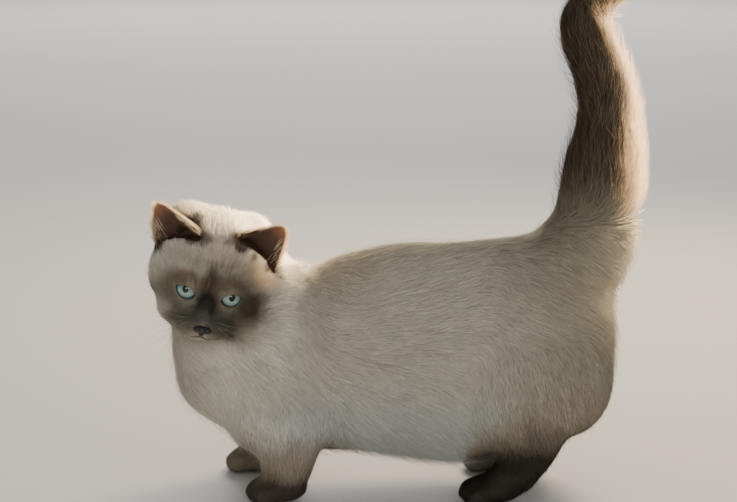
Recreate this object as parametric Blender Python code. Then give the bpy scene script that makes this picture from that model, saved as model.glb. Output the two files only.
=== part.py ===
"""A munchkin cat as a still, life-size model.

It stands on four short legs, its tail up and hooked at the tip, its head turned to its left and
a little down. Metres, +Z up. The cat faces -Y and its left side is +X. The solids reach to the
tips of the short coat. Each one is a part that a person would name, 0.3 mm from its neighbours.
"""

import math

import bmesh
import bpy
import numpy as np
from mathutils import Matrix, Vector
from mathutils.bvhtree import BVHTree

# Sizes of the fused body and of its cuts
MASS_VOXEL = 0.0026
FORM_VOXEL = 0.0016
MASS_SMOOTHING = 20
FORM_SMOOTHING = 5
BODY_TRIANGLES = 6100
HEAD_TRIANGLES = 8800  # of the whole body, at the head's density
MOUTH_TRIANGLES = 370
NOSE_TRIANGLES = 300
NOSE_VOXEL = 0.00045
GAP = 0.0003

# The trunk, from the chest to the rump: y, height of the back, height of the belly, half width
TRUNK = (
    (-0.1400, 0.1130, 0.0800, 0.014),
    (-0.1350, 0.1290, 0.0660, 0.030),
    (-0.1240, 0.1420, 0.0550, 0.042),
    (-0.1030, 0.1520, 0.0430, 0.050),
    (-0.0750, 0.1570, 0.0360, 0.053),
    (-0.0480, 0.1610, 0.0315, 0.054),
    (-0.0180, 0.1715, 0.0270, 0.056),
    (0.0200, 0.1795, 0.0235, 0.059),
    (0.0560, 0.1800, 0.0190, 0.060),
    (0.0900, 0.1825, 0.0230, 0.058),
    (0.1200, 0.1860, 0.0400, 0.054),
    (0.1480, 0.1800, 0.0520, 0.048),
    (0.1680, 0.1580, 0.0640, 0.036),
    (0.1760, 0.1330, 0.0820, 0.018),
)
WIDEST = 0.45  # height of the trunk's widest line, as a share from belly to back

# The tail's centre line and half thickness: x, y, z, r
TAIL = (
    (0.000, 0.1330, 0.1480, 0.036),
    (0.000, 0.1500, 0.1700, 0.036),
    (0.000, 0.1595, 0.1900, 0.033),
    (0.001, 0.1635, 0.2100, 0.0305),
    (0.002, 0.1650, 0.2330, 0.0290),
    (0.003, 0.1672, 0.2520, 0.0258),
    (0.003, 0.1680, 0.2700, 0.0225),
    (0.002, 0.1656, 0.2890, 0.0210),
    (0.000, 0.1600, 0.3070, 0.0208),
    (-0.002, 0.1530, 0.3230, 0.0205),
    (-0.003, 0.1510, 0.3370, 0.0190),
    (-0.003, 0.1590, 0.3490, 0.0170),
    (-0.002, 0.1725, 0.3590, 0.0145),
    (0.000, 0.1850, 0.3660, 0.0090),
)

# The neck, from between the shoulders to the back of the skull: x, y, z, r
NECK = (
    (0.000, -0.0620, 0.1080, 0.051),
    (0.000, -0.0800, 0.1290, 0.048),
    (0.006, -0.0960, 0.1470, 0.042),
    (0.018, -0.1060, 0.1590, 0.038),
)
RUFF = ((0.028, -0.1155, 0.112), (0.026, 0.0255, 0.030))

# The muscles over the legs: centre and half sizes, a thigh's measured from its paw
SHOULDERS = (
    ((0.030, -0.072, 0.085), (0.028, 0.038, 0.055)),
    ((-0.030, -0.082, 0.085), (0.028, 0.038, 0.055)),
)
THIGH = ((0.036, 0.024, 0.088), (0.028, 0.046, 0.056))
BUTTOCK = ((0.034, 0.140, 0.090), (0.026, 0.034, 0.045))

# The head: the place between its eyes, and how it is turned
FACE_AT = Vector((0.0600, -0.1095, 0.1525))
HEAD_YAW = math.radians(92.0)
HEAD_PITCH = math.radians(15.0)
HEAD_ROLL = math.radians(12.6)

# Balls of the head, in its own frame: +X its left, -Y forward, +Z up. Centre and half sizes
SKULL = ((0.0, 0.041, 0.0078), (0.0435, 0.040, 0.0375))
CROWN = ((0.0215, 0.0490, 0.0200), (0.0215, 0.0240, 0.0245))
BROW = ((0.0150, 0.0125, 0.0105), (0.0155, 0.0125, 0.0115))
CHEEK = ((0.0230, 0.0270, -0.0030), (0.0215, 0.0240, 0.0210))
JOWL = ((0.0195, 0.0140, -0.0190), (0.0170, 0.0185, 0.0145))
THROAT = ((-0.0020, 0.0200, -0.0260), (0.0270, 0.0240, 0.0150))
MUZZLE_PAD = ((0.0092, -0.0030, -0.0203), (0.0120, 0.0120, 0.0090))
BRIDGE_TOP = ((0.0, 0.0090, 0.0040), (0.0110, 0.0130, 0.0120))
BRIDGE_MID = ((0.0, 0.0000, -0.0060), (0.0080, 0.0108, 0.0088))
BRIDGE_TIP = ((0.0, -0.0086, -0.0152), (0.0064, 0.0087, 0.0067))
TEAR = ((0.0125, 0.0050, -0.0105), (0.0105, 0.0105, 0.0085))
CHIN = ((0.0, -0.0030, -0.0270), (0.0100, 0.0100, 0.0065))

# The eyes: the ball, the lids' thickness over it, and the almond opening between the lids
EYE_AT = Vector((0.0143, 0.0085, 0.0))
EYE_RADIUS = 0.0095
LID_THICK = 0.0026
EYE_HALF_WIDTH = 0.0076
EYE_UPPER = 0.0046
EYE_LOWER = 0.0054
EYE_SLANT = math.radians(13.0)
EYE_OUTWARD = math.radians(12.0)

# The nose leather: its middle, how far it leans back, and the height of its foot
NOSE_AT = Vector((0.0, -0.0160, -0.0197))
NOSE_LEAN = math.radians(14.0)
NOSE_FOOT_Z = -0.0224

# Its pad, its foot and one wing: centre and half sizes. A nostril's, and how it slants
NOSE_PAD = ((0.0, 0.0014, 0.0004), (0.0046, 0.0032, 0.0025))
NOSE_FOOT = ((0.0, 0.0008, -0.0017), (0.0021, 0.0026, 0.0025))
NOSE_WING = ((0.0033, 0.0014, 0.0000), (0.0027, 0.0026, 0.0020))
NOSTRIL = ((0.0027, -0.0022, 0.0006), (0.0012, 0.0028, 0.0006))
NOSTRIL_SLANT = math.radians(-30.0)

# The mouth: its line's height under the nose and at the corners, its groove and its lips
MOUTH_PARTS_Z = -0.0250
MOUTH_CORNER_X = 0.0165
MOUTH_CORNER_Z = -0.0266
MOUTH_SAG = 0.0022
LIP_RADIUS = 0.0019
LIP_SUNK = 0.0012
MOUTH_GROOVE = 0.0008
MOUTH_GROOVE_STANDS_OUT = 0.00024

# The ear: middle of its base, the tip of the left and the right one, where its outer edge leads
EAR_BASE = Vector((0.0280, 0.0290, 0.0248))
EAR_TIPS = {1: Vector((0.0425, 0.0310, 0.0480)), -1: Vector((0.0462, 0.0300, 0.0475))}
EAR_EDGES = {1: Vector((0.0265, 0.0120, -0.0275)), -1: Vector((0.0265, 0.0215, -0.0275))}
EAR_HALF_BASE = 0.0212
EAR_HALF_TIP = 0.0036
EAR_TAPER = 0.85
EAR_ROUNDED_FROM = 0.86  # where the sides draw together to the tip
EAR_ROUNDED_BY = 1.01
EAR_WRAP_BASE = math.radians(76.0)
EAR_WRAP_TIP = math.radians(36.0)
EAR_WALL = 0.0022

# The hollow in front of an ear: how far it goes down, up and forward
HOLLOW_DOWN = 0.30
HOLLOW_UP = 0.48
HOLLOW_FORWARD = 0.0060
HOLLOW_WRAP = 0.96  # of the ear's own arc

# The forepaws and hind paws: the middle of each sole
FOREPAW_LEFT_AT = Vector((0.037, -0.0640, 0.0))
FOREPAW_RIGHT_AT = Vector((-0.037, -0.0840, 0.0))
HINDPAW_LEFT_AT = Vector((0.039, 0.0870, 0.0))
HINDPAW_RIGHT_AT = Vector((-0.039, 0.0940, 0.0))
FOREPAW_LENGTH = 0.042
HINDPAW_LENGTH = 0.044
TOE_OUT = math.radians(12.0)
PAW_HALF_WIDTH = 0.0165
PAW_HALF_HEIGHT = 0.0110
PAW_MIDDLE = (0.0, 0.0010, 0.0090)
TOES = ((-0.0124, -0.0120), (-0.0043, -0.0155), (0.0043, -0.0155), (0.0124, -0.0120))
TOE_HALF = (0.0056, 0.0088, 0.0078)
TOE_Z = 0.0068

# The limbs, from the top down: inward and back from the paw's middle, height, half thickness
FORELIMB = (
    (0.006, 0.012, 0.080, 0.0280),
    (0.003, 0.010, 0.052, 0.0250),
    (0.001, 0.007, 0.032, 0.0205),
    (0.000, 0.003, 0.018, 0.0180),
    (0.000, -0.002, 0.010, 0.0120),
)
SHANK = (
    (0.010, 0.014, 0.082, 0.0280),
    (0.005, 0.028, 0.058, 0.0260),
    (0.000, 0.030, 0.042, 0.0195),
    (0.000, 0.029, 0.033, 0.0145),
)
METATARSUS = (
    (0.000, 0.041, 0.054, 0.0150),
    (0.000, 0.029, 0.036, 0.0170),
    (0.000, 0.018, 0.022, 0.0160),
    (0.000, 0.006, 0.012, 0.0145),
    (0.000, -0.004, 0.010, 0.0100),
)

# Where the cat is parted: heights, and places along it
ANKLE = (0.0190, 0.0210)  # behind and above the middle of a hind paw's sole
ANKLE_SLOPE = math.radians(38.0)
THROAT_CUT = (0.0, -0.0100, -0.0345)
THROAT_SLOPE = math.radians(18.0)
HEAD_SIDE = 0.051  # how far left the head reaches before the nape begins
HEAD_REACH = 0.13  # past the head on every side, and past the nape before and below it
NAPE_REACH = 0.05
NECK_CUT = (0.0, -0.0400, 0.1600)
NECK_CUT_NORMAL = (0.45, -0.45, 0.77)
WRIST_Z = 0.020
ELBOW_Z = 0.078
THIGH_Z = 0.118
LEG_INSIDE = 0.018
PAW_INSIDE = 0.008
FORELEG_FRONT = 0.032  # before and behind the middle of the paw
FORELEG_BACK = 0.044
HINDLEG_FRONT = 0.024
HINDPAW_HALF_WIDTH = 0.022
HINDPAW_TOP = 0.0185
CHEST_Y = -0.035
RUMP_Y = 0.075
TAIL_Y = 0.090
TAIL_CUTS = (0.197, 0.262, 0.318)
REACH = 0.4  # past the cat on every side

# Brings the middle of the cat's floor plan to the origin
STANDS_AT = Vector((-0.0058, -0.0198, 0.0))

COAT_BODY = ("coat_body", (0.62, 0.53, 0.43), 0.85)
COAT_POINT = ("coat_point", (0.075, 0.055, 0.042), 0.80)
IRIS = ("iris", (0.45, 0.62, 0.68), 0.08)
NOSE_LEATHER = ("nose_leather", (0.09, 0.065, 0.06), 0.45)


# Small tools


def clear_scene():
    """Removes every object that the file starts with."""
    for old in list(bpy.data.objects):
        bpy.data.objects.remove(old)


def head_matrix():
    """The head's own frame in the world: turned to its left, nose down, left side lower."""
    turn = (
        Matrix.Rotation(HEAD_YAW, 4, "Z")
        @ Matrix.Rotation(HEAD_PITCH, 4, "X")
        @ Matrix.Rotation(HEAD_ROLL, 4, "Y")
    )
    return Matrix.Translation(FACE_AT) @ turn


def resampled(rows, count):
    """Rows of numbers read again at count places on a smooth curve through them."""
    rows = np.asarray(rows, float)
    padded = np.vstack([2 * rows[0] - rows[1], rows, 2 * rows[-1] - rows[-2]])
    out = []
    for place in np.linspace(0, len(rows) - 1, count):
        i = min(int(place), len(rows) - 2)
        t = place - i
        a, b, c, d = padded[i : i + 4]
        out.append(
            0.5
            * (
                2 * b
                + (c - a) * t
                + (2 * a - 5 * b + 4 * c - d) * t * t
                + (3 * b - a - 3 * c + d) * t**3
            )
        )
    return [row.tolist() for row in out]


def add_rings(bm, rings):
    """Joins rings of points into a closed tube, with a face on each end."""
    made = [[bm.verts.new(p) for p in ring] for ring in rings]
    sides = len(made[0])
    for low, high in zip(made, made[1:]):
        for i in range(sides):
            j = (i + 1) % sides
            bm.faces.new((low[i], low[j], high[j], high[i]))
    bm.faces.new(reversed(made[0]))
    bm.faces.new(made[-1])


def add_ball(bm, centre, half_sizes, frame=Matrix.Identity(4)):
    """An ellipsoid with its axes along frame's."""
    place = frame @ Matrix.Translation(centre) @ Matrix.Diagonal((*half_sizes, 1.0))
    bmesh.ops.create_uvsphere(bm, u_segments=24, v_segments=14, radius=1.0, matrix=place)


def add_pair(bm, ball, frame=Matrix.Identity(4)):
    """The same ball on both sides of frame's middle plane."""
    (x, y, z), half_sizes = ball
    for side in (1, -1):
        add_ball(bm, (side * x, y, z), half_sizes, frame)


def add_tube(bm, rows, count=40, sides=28):
    """A round tube along rows of x, y, z and half thickness."""
    rows = resampled(rows, count)
    rings = []
    across = Vector((1.0, 0.0, 0.0))
    for i, (x, y, z, r) in enumerate(rows):
        before, after = rows[max(i - 1, 0)], rows[min(i + 1, count - 1)]
        along = (Vector(after[:3]) - Vector(before[:3])).normalized()
        across = (across - along * across.dot(along)).normalized()
        up = along.cross(across)
        ring = [
            Vector((x, y, z)) + r * (math.cos(a) * across + math.sin(a) * up)
            for a in (2 * math.pi * k / sides for k in range(sides))
        ]
        rings.append(ring)
    add_rings(bm, rings)


def new_object(name, mesh):
    """An object for mesh, in the scene."""
    made = bpy.data.objects.new(name, mesh)
    bpy.context.scene.collection.objects.link(made)
    return made


def object_from(bm, name):
    """An object from bm, its faces pointing out, and bm freed."""
    bmesh.ops.recalc_face_normals(bm, faces=bm.faces)
    mesh = bpy.data.meshes.new(name)
    bm.to_mesh(mesh)
    bm.free()
    return new_object(name, mesh)


def apply_modifiers(obj):
    """Turns obj's mesh into what its modifiers make of it."""
    bpy.context.view_layer.update()
    graph = bpy.context.evaluated_depsgraph_get()
    mesh = bpy.data.meshes.new_from_object(obj.evaluated_get(graph))
    obj.modifiers.clear()
    old, obj.data = obj.data, mesh
    bpy.data.meshes.remove(old)
    return obj


def fuse(obj, voxel, rounds):
    """Melts obj's overlapping pieces into one closed surface and softens its creases."""
    remesh = obj.modifiers.new("Fuse", "REMESH")
    remesh.mode = "VOXEL"
    remesh.voxel_size = voxel
    smooth = obj.modifiers.new("Soften", "SMOOTH")
    smooth.factor = 0.5
    smooth.iterations = rounds
    return apply_modifiers(obj)


def thin_out(obj, triangles):
    """Brings obj down to about that many triangles."""
    obj.data.calc_loop_triangles()
    decimate = obj.modifiers.new("Thin", "DECIMATE")
    decimate.ratio = min(1.0, triangles / len(obj.data.loop_triangles))
    decimate.use_collapse_triangulate = True
    return apply_modifiers(obj)


def boolean(obj, other, operation):
    """Joins other to obj, cuts it away, or keeps what both fill. other is removed."""
    step = obj.modifiers.new(operation, "BOOLEAN")
    step.operation = operation
    step.solver = "EXACT"
    step.object = other
    apply_modifiers(obj)
    mesh = other.data
    bpy.data.objects.remove(other)
    bpy.data.meshes.remove(mesh)
    return keep_largest(obj)


def keep_largest(obj):
    """Keeps obj's largest closed surface and drops loose scraps."""
    bm = bmesh.new()
    bm.from_mesh(obj.data)
    bmesh.ops.remove_doubles(bm, verts=bm.verts, dist=1e-6)
    left = set(bm.faces)
    groups = []
    while left:
        seed = left.pop()
        group, edge_of_group = {seed}, [seed]
        while edge_of_group:
            face = edge_of_group.pop()
            for edge in face.edges:
                for near in edge.link_faces:
                    if near in left:
                        left.remove(near)
                        group.add(near)
                        edge_of_group.append(near)
        groups.append(group)
    largest = max(groups, key=lambda group: sum(face.calc_area() for face in group))
    scraps = [face for face in bm.faces if face not in largest]
    bmesh.ops.delete(bm, geom=scraps, context="FACES")
    loose = [v for v in bm.verts if not v.link_faces]
    bmesh.ops.delete(bm, geom=loose, context="VERTS")
    bm.to_mesh(obj.data)
    bm.free()
    return obj


def copy_of(obj, name):
    """A second object with its own copy of obj's mesh."""
    return new_object(name, obj.data.copy())


def grown(obj, name, by):
    """A copy of obj, swollen by that much."""
    made = copy_of(obj, name)
    swell = made.modifiers.new("Swell", "DISPLACE")
    swell.mid_level = 0.0
    swell.strength = by
    return apply_modifiers(made)


def block(low, high, frame=Matrix.Identity(4), grow=0.0):
    """A box between two corners in frame, grown on every side."""
    low = Vector(low) - Vector((grow,) * 3)
    high = Vector(high) + Vector((grow,) * 3)
    bm = bmesh.new()
    size = high - low
    place = frame @ Matrix.Translation((low + high) / 2) @ Matrix.Diagonal((*size, 1.0))
    bmesh.ops.create_cube(bm, size=1.0, matrix=place)
    return object_from(bm, "block")


def part_off(rest, name, low, high, frame=Matrix.Identity(4)):
    """Cuts the part of rest inside a box off as its own object, and leaves the thin gap."""
    made = boolean(copy_of(rest, name), block(low, high, frame), "INTERSECT")
    boolean(rest, block(low, high, frame, GAP), "DIFFERENCE")
    return made


def plane_frame(point, normal):
    """A frame at point whose +Z is normal."""
    turn = Vector(normal).to_track_quat("Z", "Y").to_matrix().to_4x4()
    return Matrix.Translation(point) @ turn


# The body's forms


def add_trunk(bm, count=44, sides=40):
    """Chest, barrel and rump, as rounded rings from front to back."""
    rings = []
    for y, top, bottom, half in resampled(TRUNK, count):
        middle = bottom + WIDEST * (top - bottom)
        ring = []
        for k in range(sides):
            a = 2 * math.pi * k / sides
            reach = top - middle if math.sin(a) > 0 else middle - bottom
            ring.append(Vector((half * math.cos(a), y, middle + reach * math.sin(a))))
        rings.append(ring)
    add_rings(bm, rings)


def add_shoulders_and_thighs(bm):
    """The muscles that round the trunk over each leg."""
    for ball in SHOULDERS:
        add_ball(bm, *ball)
    (out, back, up), half = THIGH
    for side, paw in ((1, HINDPAW_LEFT_AT), (-1, HINDPAW_RIGHT_AT)):
        add_ball(bm, (side * out, paw.y + back, up), half)
    add_pair(bm, BUTTOCK)


def add_limb(bm, paw, rows, count):
    """A tube along rows of a limb, placed over its paw."""
    side = math.copysign(1, paw.x)
    placed = [(paw.x - side * inward, paw.y + back, z, r) for inward, back, z, r in rows]
    add_tube(bm, placed, count)


def add_paw(bm, at, length):
    """A rounded paw with four toes side by side and a little turned out."""
    side = math.copysign(1, at.x)
    frame = Matrix.Translation(at) @ Matrix.Rotation(side * TOE_OUT, 4, "Z")
    half = (PAW_HALF_WIDTH, 0.5 * length, PAW_HALF_HEIGHT)
    add_ball(bm, PAW_MIDDLE, half, frame)
    for x, y in TOES:
        add_ball(bm, (x, y, TOE_Z), TOE_HALF, frame)


def add_head_masses(bm):
    """Skull, brows, cheeks and jowls."""
    frame = head_matrix()
    add_ball(bm, *SKULL, frame)
    add_ball(bm, *THROAT, frame)
    for ball in (CROWN, BROW, CHEEK, JOWL):
        add_pair(bm, ball, frame)


def add_face(bm):
    """Muzzle, bridge of the nose, chin and the round of the lids."""
    frame = head_matrix()
    for ball in (BRIDGE_TOP, BRIDGE_MID, BRIDGE_TIP, CHIN):
        add_ball(bm, *ball, frame)
    add_pair(bm, TEAR, frame)
    add_pair(bm, MUZZLE_PAD, frame)
    add_pair(bm, (EYE_AT, (EYE_RADIUS + LID_THICK,) * 3), frame)


def fused_body():
    """The whole cat as one closed surface."""
    bm = bmesh.new()
    add_trunk(bm)
    add_shoulders_and_thighs(bm)
    add_tube(bm, NECK, 20)
    add_ball(bm, *RUFF)
    add_tube(bm, TAIL, 70)
    add_head_masses(bm)
    for paw in (FOREPAW_LEFT_AT, FOREPAW_RIGHT_AT):
        add_limb(bm, paw, FORELIMB, 18)
    for paw in (HINDPAW_LEFT_AT, HINDPAW_RIGHT_AT):
        add_limb(bm, paw, SHANK, 16)
        add_limb(bm, paw, METATARSUS, 18)
    masses = fuse(object_from(bm, "masses"), MASS_VOXEL, MASS_SMOOTHING)

    bm = bmesh.new()
    bm.from_mesh(masses.data)
    bpy.data.objects.remove(masses)
    add_face(bm)
    for paw in (FOREPAW_LEFT_AT, FOREPAW_RIGHT_AT):
        add_paw(bm, paw, FOREPAW_LENGTH)
    for paw in (HINDPAW_LEFT_AT, HINDPAW_RIGHT_AT):
        add_paw(bm, paw, HINDPAW_LENGTH)
    return fuse(object_from(bm, "body"), FORM_VOXEL, FORM_SMOOTHING)


# The face's openings and the pieces that fill them


def mirrored(frame, side):
    """The head's frame, or for side -1 its mirror image across its middle plane."""
    return frame @ Matrix.Diagonal((side, 1.0, 1.0, 1.0))


def almond(side):
    """A prism through the opening between the lids of one eye."""
    count = 12
    outline = []
    for k in range(2 * count):
        x = -math.cos(math.pi * k / count)
        height = EYE_UPPER if k < count else -EYE_LOWER
        outline.append((EYE_HALF_WIDTH * x, height * (1 - abs(x) ** 2.4) ** 0.75))
    turn = Matrix.Rotation(EYE_OUTWARD, 4, "Z") @ Matrix.Rotation(-EYE_SLANT, 4, "Y")
    frame = mirrored(head_matrix(), side) @ Matrix.Translation(EYE_AT) @ turn
    bm = bmesh.new()
    rings = [[frame @ Vector((x, y, z)) for x, z in outline] for y in (0.0, -0.03)]
    add_rings(bm, rings)
    return object_from(bm, "almond")


def eyeball(side, name, grow=0.0):
    """One eyeball, or the socket round it."""
    bm = bmesh.new()
    half = EYE_RADIUS + grow
    add_ball(bm, EYE_AT, (half,) * 3, mirrored(head_matrix(), side))
    return object_from(bm, name)


def nose_leather():
    """The bare tip of the nose: a pad, its two wings and the nostrils in them."""
    frame = head_matrix() @ Matrix.Translation(NOSE_AT) @ Matrix.Rotation(NOSE_LEAN, 4, "X")
    bm = bmesh.new()
    add_ball(bm, *NOSE_PAD, frame)
    add_ball(bm, *NOSE_FOOT, frame)
    add_pair(bm, NOSE_WING, frame)
    nose = fuse(object_from(bm, "nose"), NOSE_VOXEL, 3)
    thin_out(nose, NOSE_TRIANGLES)
    for side in (1, -1):
        bm = bmesh.new()
        hole = mirrored(frame, side) @ Matrix.Rotation(NOSTRIL_SLANT, 4, "Y")
        add_ball(bm, *NOSTRIL, hole)
        boolean(nose, object_from(bm, "nostril"), "DIFFERENCE")
    return nose


def mouth_lines():
    """The mouth seen from the front, as x and z: down from the nose, then to either corner."""
    sides = []
    for side in (1, -1):
        line = []
        for t in (k / 8 for k in range(9)):
            z = MOUTH_PARTS_Z + (MOUTH_CORNER_Z - MOUTH_PARTS_Z) * t
            z -= MOUTH_SAG * math.sin(math.pi * min(1.0, 1.2 * t))
            line.append((side * MOUTH_CORNER_X * t, z))
        sides.append(line)
    return [[(0.0, NOSE_FOOT_Z), (0.0, MOUTH_PARTS_Z)], *sides]


def mouth_tubes(head, radius, sunk):
    """Thin tubes along the mouth, laid on the muzzle and sunk into it that far."""
    frame = head_matrix()
    bm = bmesh.new()
    bm.from_mesh(head.data)
    surface = BVHTree.FromBMesh(bm)
    bm.free()
    back = (frame.to_3x3() @ Vector((0.0, 1.0, 0.0))).normalized()
    made = bmesh.new()
    for line in mouth_lines():
        rows = []
        for x, z in line:
            hit = surface.ray_cast(frame @ Vector((x, -0.05, z)), back)[0]
            rows.append((*(hit + back * sunk), radius))
        add_tube(made, rows, 2 * len(rows) + 1, 8)
    return fuse(object_from(made, "mouth"), 0.4 * radius, 1)


def ear_axes(side):
    """The way up an ear, the way to its outer edge, and the way its cup faces."""
    along = (EAR_TIPS[side] - EAR_BASE).normalized()
    edge = EAR_EDGES[side]
    across = (edge - along * edge.dot(along)).normalized()
    return along, across, across.cross(along)


def ear_bend(v):
    """The radius of an ear's sheet and the half angle of its arc, v of the way up."""
    half = EAR_HALF_TIP + (EAR_HALF_BASE - EAR_HALF_TIP) * (1 - v) ** EAR_TAPER
    closing = max(0.0, v - EAR_ROUNDED_FROM) / (EAR_ROUNDED_BY - EAR_ROUNDED_FROM)
    half *= math.sqrt(max(0.0, 1 - closing**2))
    wrap = EAR_WRAP_BASE + (EAR_WRAP_TIP - EAR_WRAP_BASE) * max(v, 0.0)
    return half / math.sin(wrap), wrap


def ear_point(side, v, turn, radius, wrap):
    """A place on an ear's sheet, turned that far from its middle line."""
    along, across, facing = ear_axes(side)
    height = (EAR_TIPS[side] - EAR_BASE).length
    point = EAR_BASE + along * height * v + across * radius * math.sin(turn)
    return point - facing * radius * (math.cos(turn) - math.cos(wrap))


def ear(side, name):
    """One ear: a cupped sheet with a wall, wide at the base and blunt at the tip."""
    frame = mirrored(head_matrix(), side)
    rows, columns = 10, 12
    bm = bmesh.new()
    grid = []
    for i in range(rows + 1):
        v = i / rows
        radius, wrap = ear_bend(v)
        turns = [wrap * (2 * k / columns - 1) for k in range(columns + 1)]
        points = [frame @ ear_point(side, v, turn, radius, wrap) for turn in turns]
        grid.append([bm.verts.new(point) for point in points])
    for low, high in zip(grid, grid[1:]):
        for k in range(columns):
            bm.faces.new((low[k], low[k + 1], high[k + 1], high[k]))
    made = object_from(bm, name)
    wall = made.modifiers.new("Wall", "SOLIDIFY")
    wall.thickness = EAR_WALL
    wall.offset = 0.0
    return apply_modifiers(made)


def ear_hollow(side):
    """The room in front of an ear's sheet, that its cup sinks into the skull."""
    frame = mirrored(head_matrix(), side)
    forward = ear_axes(side)[2] * HOLLOW_FORWARD
    rows, columns = 7, 8
    rings = []
    for i in range(rows + 1):
        v = -HOLLOW_DOWN + (HOLLOW_DOWN + HOLLOW_UP) * i / rows
        radius, wrap = ear_bend(v)
        closing = math.sqrt(1 - (1 - min(1.0, (i + 0.6) / 3)) ** 2)
        inner = closing * (radius - EAR_WALL / 2)
        turns = [HOLLOW_WRAP * wrap * (2 * k / columns - 1) for k in range(columns + 1)]
        points = [ear_point(side, v, turn, inner, wrap) for turn in turns]
        points += [points[-1] + forward, points[0] + forward]
        rings.append([frame @ point for point in points])
    bm = bmesh.new()
    add_rings(bm, rings)
    return object_from(bm, "hollow")


def furnish_head(head):
    """Cuts the eyes, ears, nose and mouth into the head, and returns the pieces for them."""
    pieces = []
    for side, word in ((1, "left"), (-1, "right")):
        socket = boolean(eyeball(side, "socket", GAP), almond(side), "UNION")
        boolean(head, socket, "DIFFERENCE")
        pieces.append(eyeball(side, "eye_" + word))
    lips = thin_out(mouth_tubes(head, LIP_RADIUS, LIP_SUNK), MOUTH_TRIANGLES)
    groove = mouth_tubes(head, MOUTH_GROOVE, -MOUTH_GROOVE_STANDS_OUT)
    thin_out(groove, MOUTH_TRIANGLES)
    boolean(head, lips, "UNION")
    boolean(head, groove, "DIFFERENCE")
    nose = nose_leather()
    boolean(head, grown(nose, "pocket", GAP), "DIFFERENCE")
    for side, word in ((1, "left"), (-1, "right")):
        made = ear(side, "ear_" + word)
        pieces.append(boolean(made, grown(head, "scalp", GAP), "DIFFERENCE"))
    for side in (1, -1):
        boolean(head, ear_hollow(side), "DIFFERENCE")
    return [*pieces, nose]


# Parting the cat


def part_head(body, fine):
    """Cuts head, neck and nape off body, and takes the head from its finer copy."""
    base = plane_frame(NECK_CUT, NECK_CUT_NORMAL)
    front = ((-HEAD_REACH, -HEAD_REACH, 0.0), (HEAD_REACH, HEAD_REACH, HEAD_REACH), base)
    throat = head_matrix() @ Matrix.Translation(THROAT_CUT)
    throat = throat @ Matrix.Rotation(THROAT_SLOPE, 4, "X")
    above = ((-HEAD_REACH, -HEAD_REACH, 0.0), (HEAD_SIDE, HEAD_REACH, HEAD_REACH), throat)
    neck = part_off(body, "neck", *front)
    low = (HEAD_SIDE + GAP, -NAPE_REACH, -NAPE_REACH)
    nape = part_off(neck, "nape", low, (HEAD_REACH, HEAD_REACH, HEAD_REACH), throat)
    boolean(neck, block(*above, GAP), "DIFFERENCE")
    head = boolean(fine, block(*front), "INTERSECT")
    boolean(head, block(*above), "INTERSECT")
    head.name = "head"
    return head, neck, nape


def part_tail(body):
    """Cuts the tail off in three lengths, from the tip down."""
    names = ("tail_base", "tail_middle", "tail_tip")
    made = []
    for name, cut in reversed(list(zip(names, TAIL_CUTS))):
        made.append(part_off(body, name, (-REACH, TAIL_Y, cut), (REACH, REACH, REACH)))
    return made


def part_legs(body):
    """Cuts the four paws and the four legs off."""
    made = []
    for word, fore, hind in (
        ("left", FOREPAW_LEFT_AT, HINDPAW_LEFT_AT),
        ("right", FOREPAW_RIGHT_AT, HINDPAW_RIGHT_AT),
    ):
        side = math.copysign(1, fore.x)
        near, far = sorted((side * LEG_INSIDE, side * REACH))
        paw_near, paw_far = sorted((side * PAW_INSIDE, side * REACH))
        low = (paw_near, fore.y - FOREPAW_LENGTH, -REACH)
        high = (paw_far, fore.y + FOREPAW_LENGTH, WRIST_Z)
        made.append(part_off(body, "forepaw_" + word, low, high))
        low = (near, fore.y - FORELEG_FRONT, -REACH)
        high = (far, fore.y + FORELEG_BACK, ELBOW_Z)
        made.append(part_off(body, "foreleg_" + word, low, high))
        ankle = Matrix.Translation((hind.x, *ANKLE)) @ Matrix.Rotation(ANKLE_SLOPE, 4, "X")
        ankle = Matrix.Translation((0.0, hind.y, 0.0)) @ ankle
        low = (-HINDPAW_HALF_WIDTH, -2 * HINDPAW_LENGTH, -HINDPAW_LENGTH)
        high = (HINDPAW_HALF_WIDTH, 0.0, HINDPAW_TOP)
        made.append(part_off(body, "hindpaw_" + word, low, high, ankle))
        low, high = (near, hind.y - HINDLEG_FRONT, -REACH), (far, REACH, THIGH_Z)
        made.append(part_off(body, "hindleg_" + word, low, high))
    return made


def part_trunk(body):
    """Cuts chest and rump from the barrel between them."""
    chest = part_off(body, "chest", (-REACH, -REACH, -REACH), (REACH, CHEST_Y, REACH))
    rump = part_off(body, "rump", (-REACH, RUMP_Y, -REACH), (REACH, REACH, REACH))
    body.name = "barrel"
    return [chest, rump, body]


def dress(obj):
    """Gives obj its smooth shading and its plain finish."""
    dark = obj.name.startswith(("ear", "tail", "forepaw", "hindpaw"))
    finish = COAT_POINT if dark else COAT_BODY
    if obj.name.startswith("eye"):
        finish = IRIS
    if obj.name == "nose":
        finish = NOSE_LEATHER
    name, colour, roughness = finish
    material = bpy.data.materials.get(name) or bpy.data.materials.new(name)
    material.use_nodes = True
    shader = material.node_tree.nodes["Principled BSDF"]
    shader.inputs["Base Color"].default_value = (*colour, 1.0)
    shader.inputs["Roughness"].default_value = roughness
    shader.inputs["Metallic"].default_value = 0.0
    obj.data.materials.clear()
    obj.data.materials.append(material)
    obj.data.shade_smooth()


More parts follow.
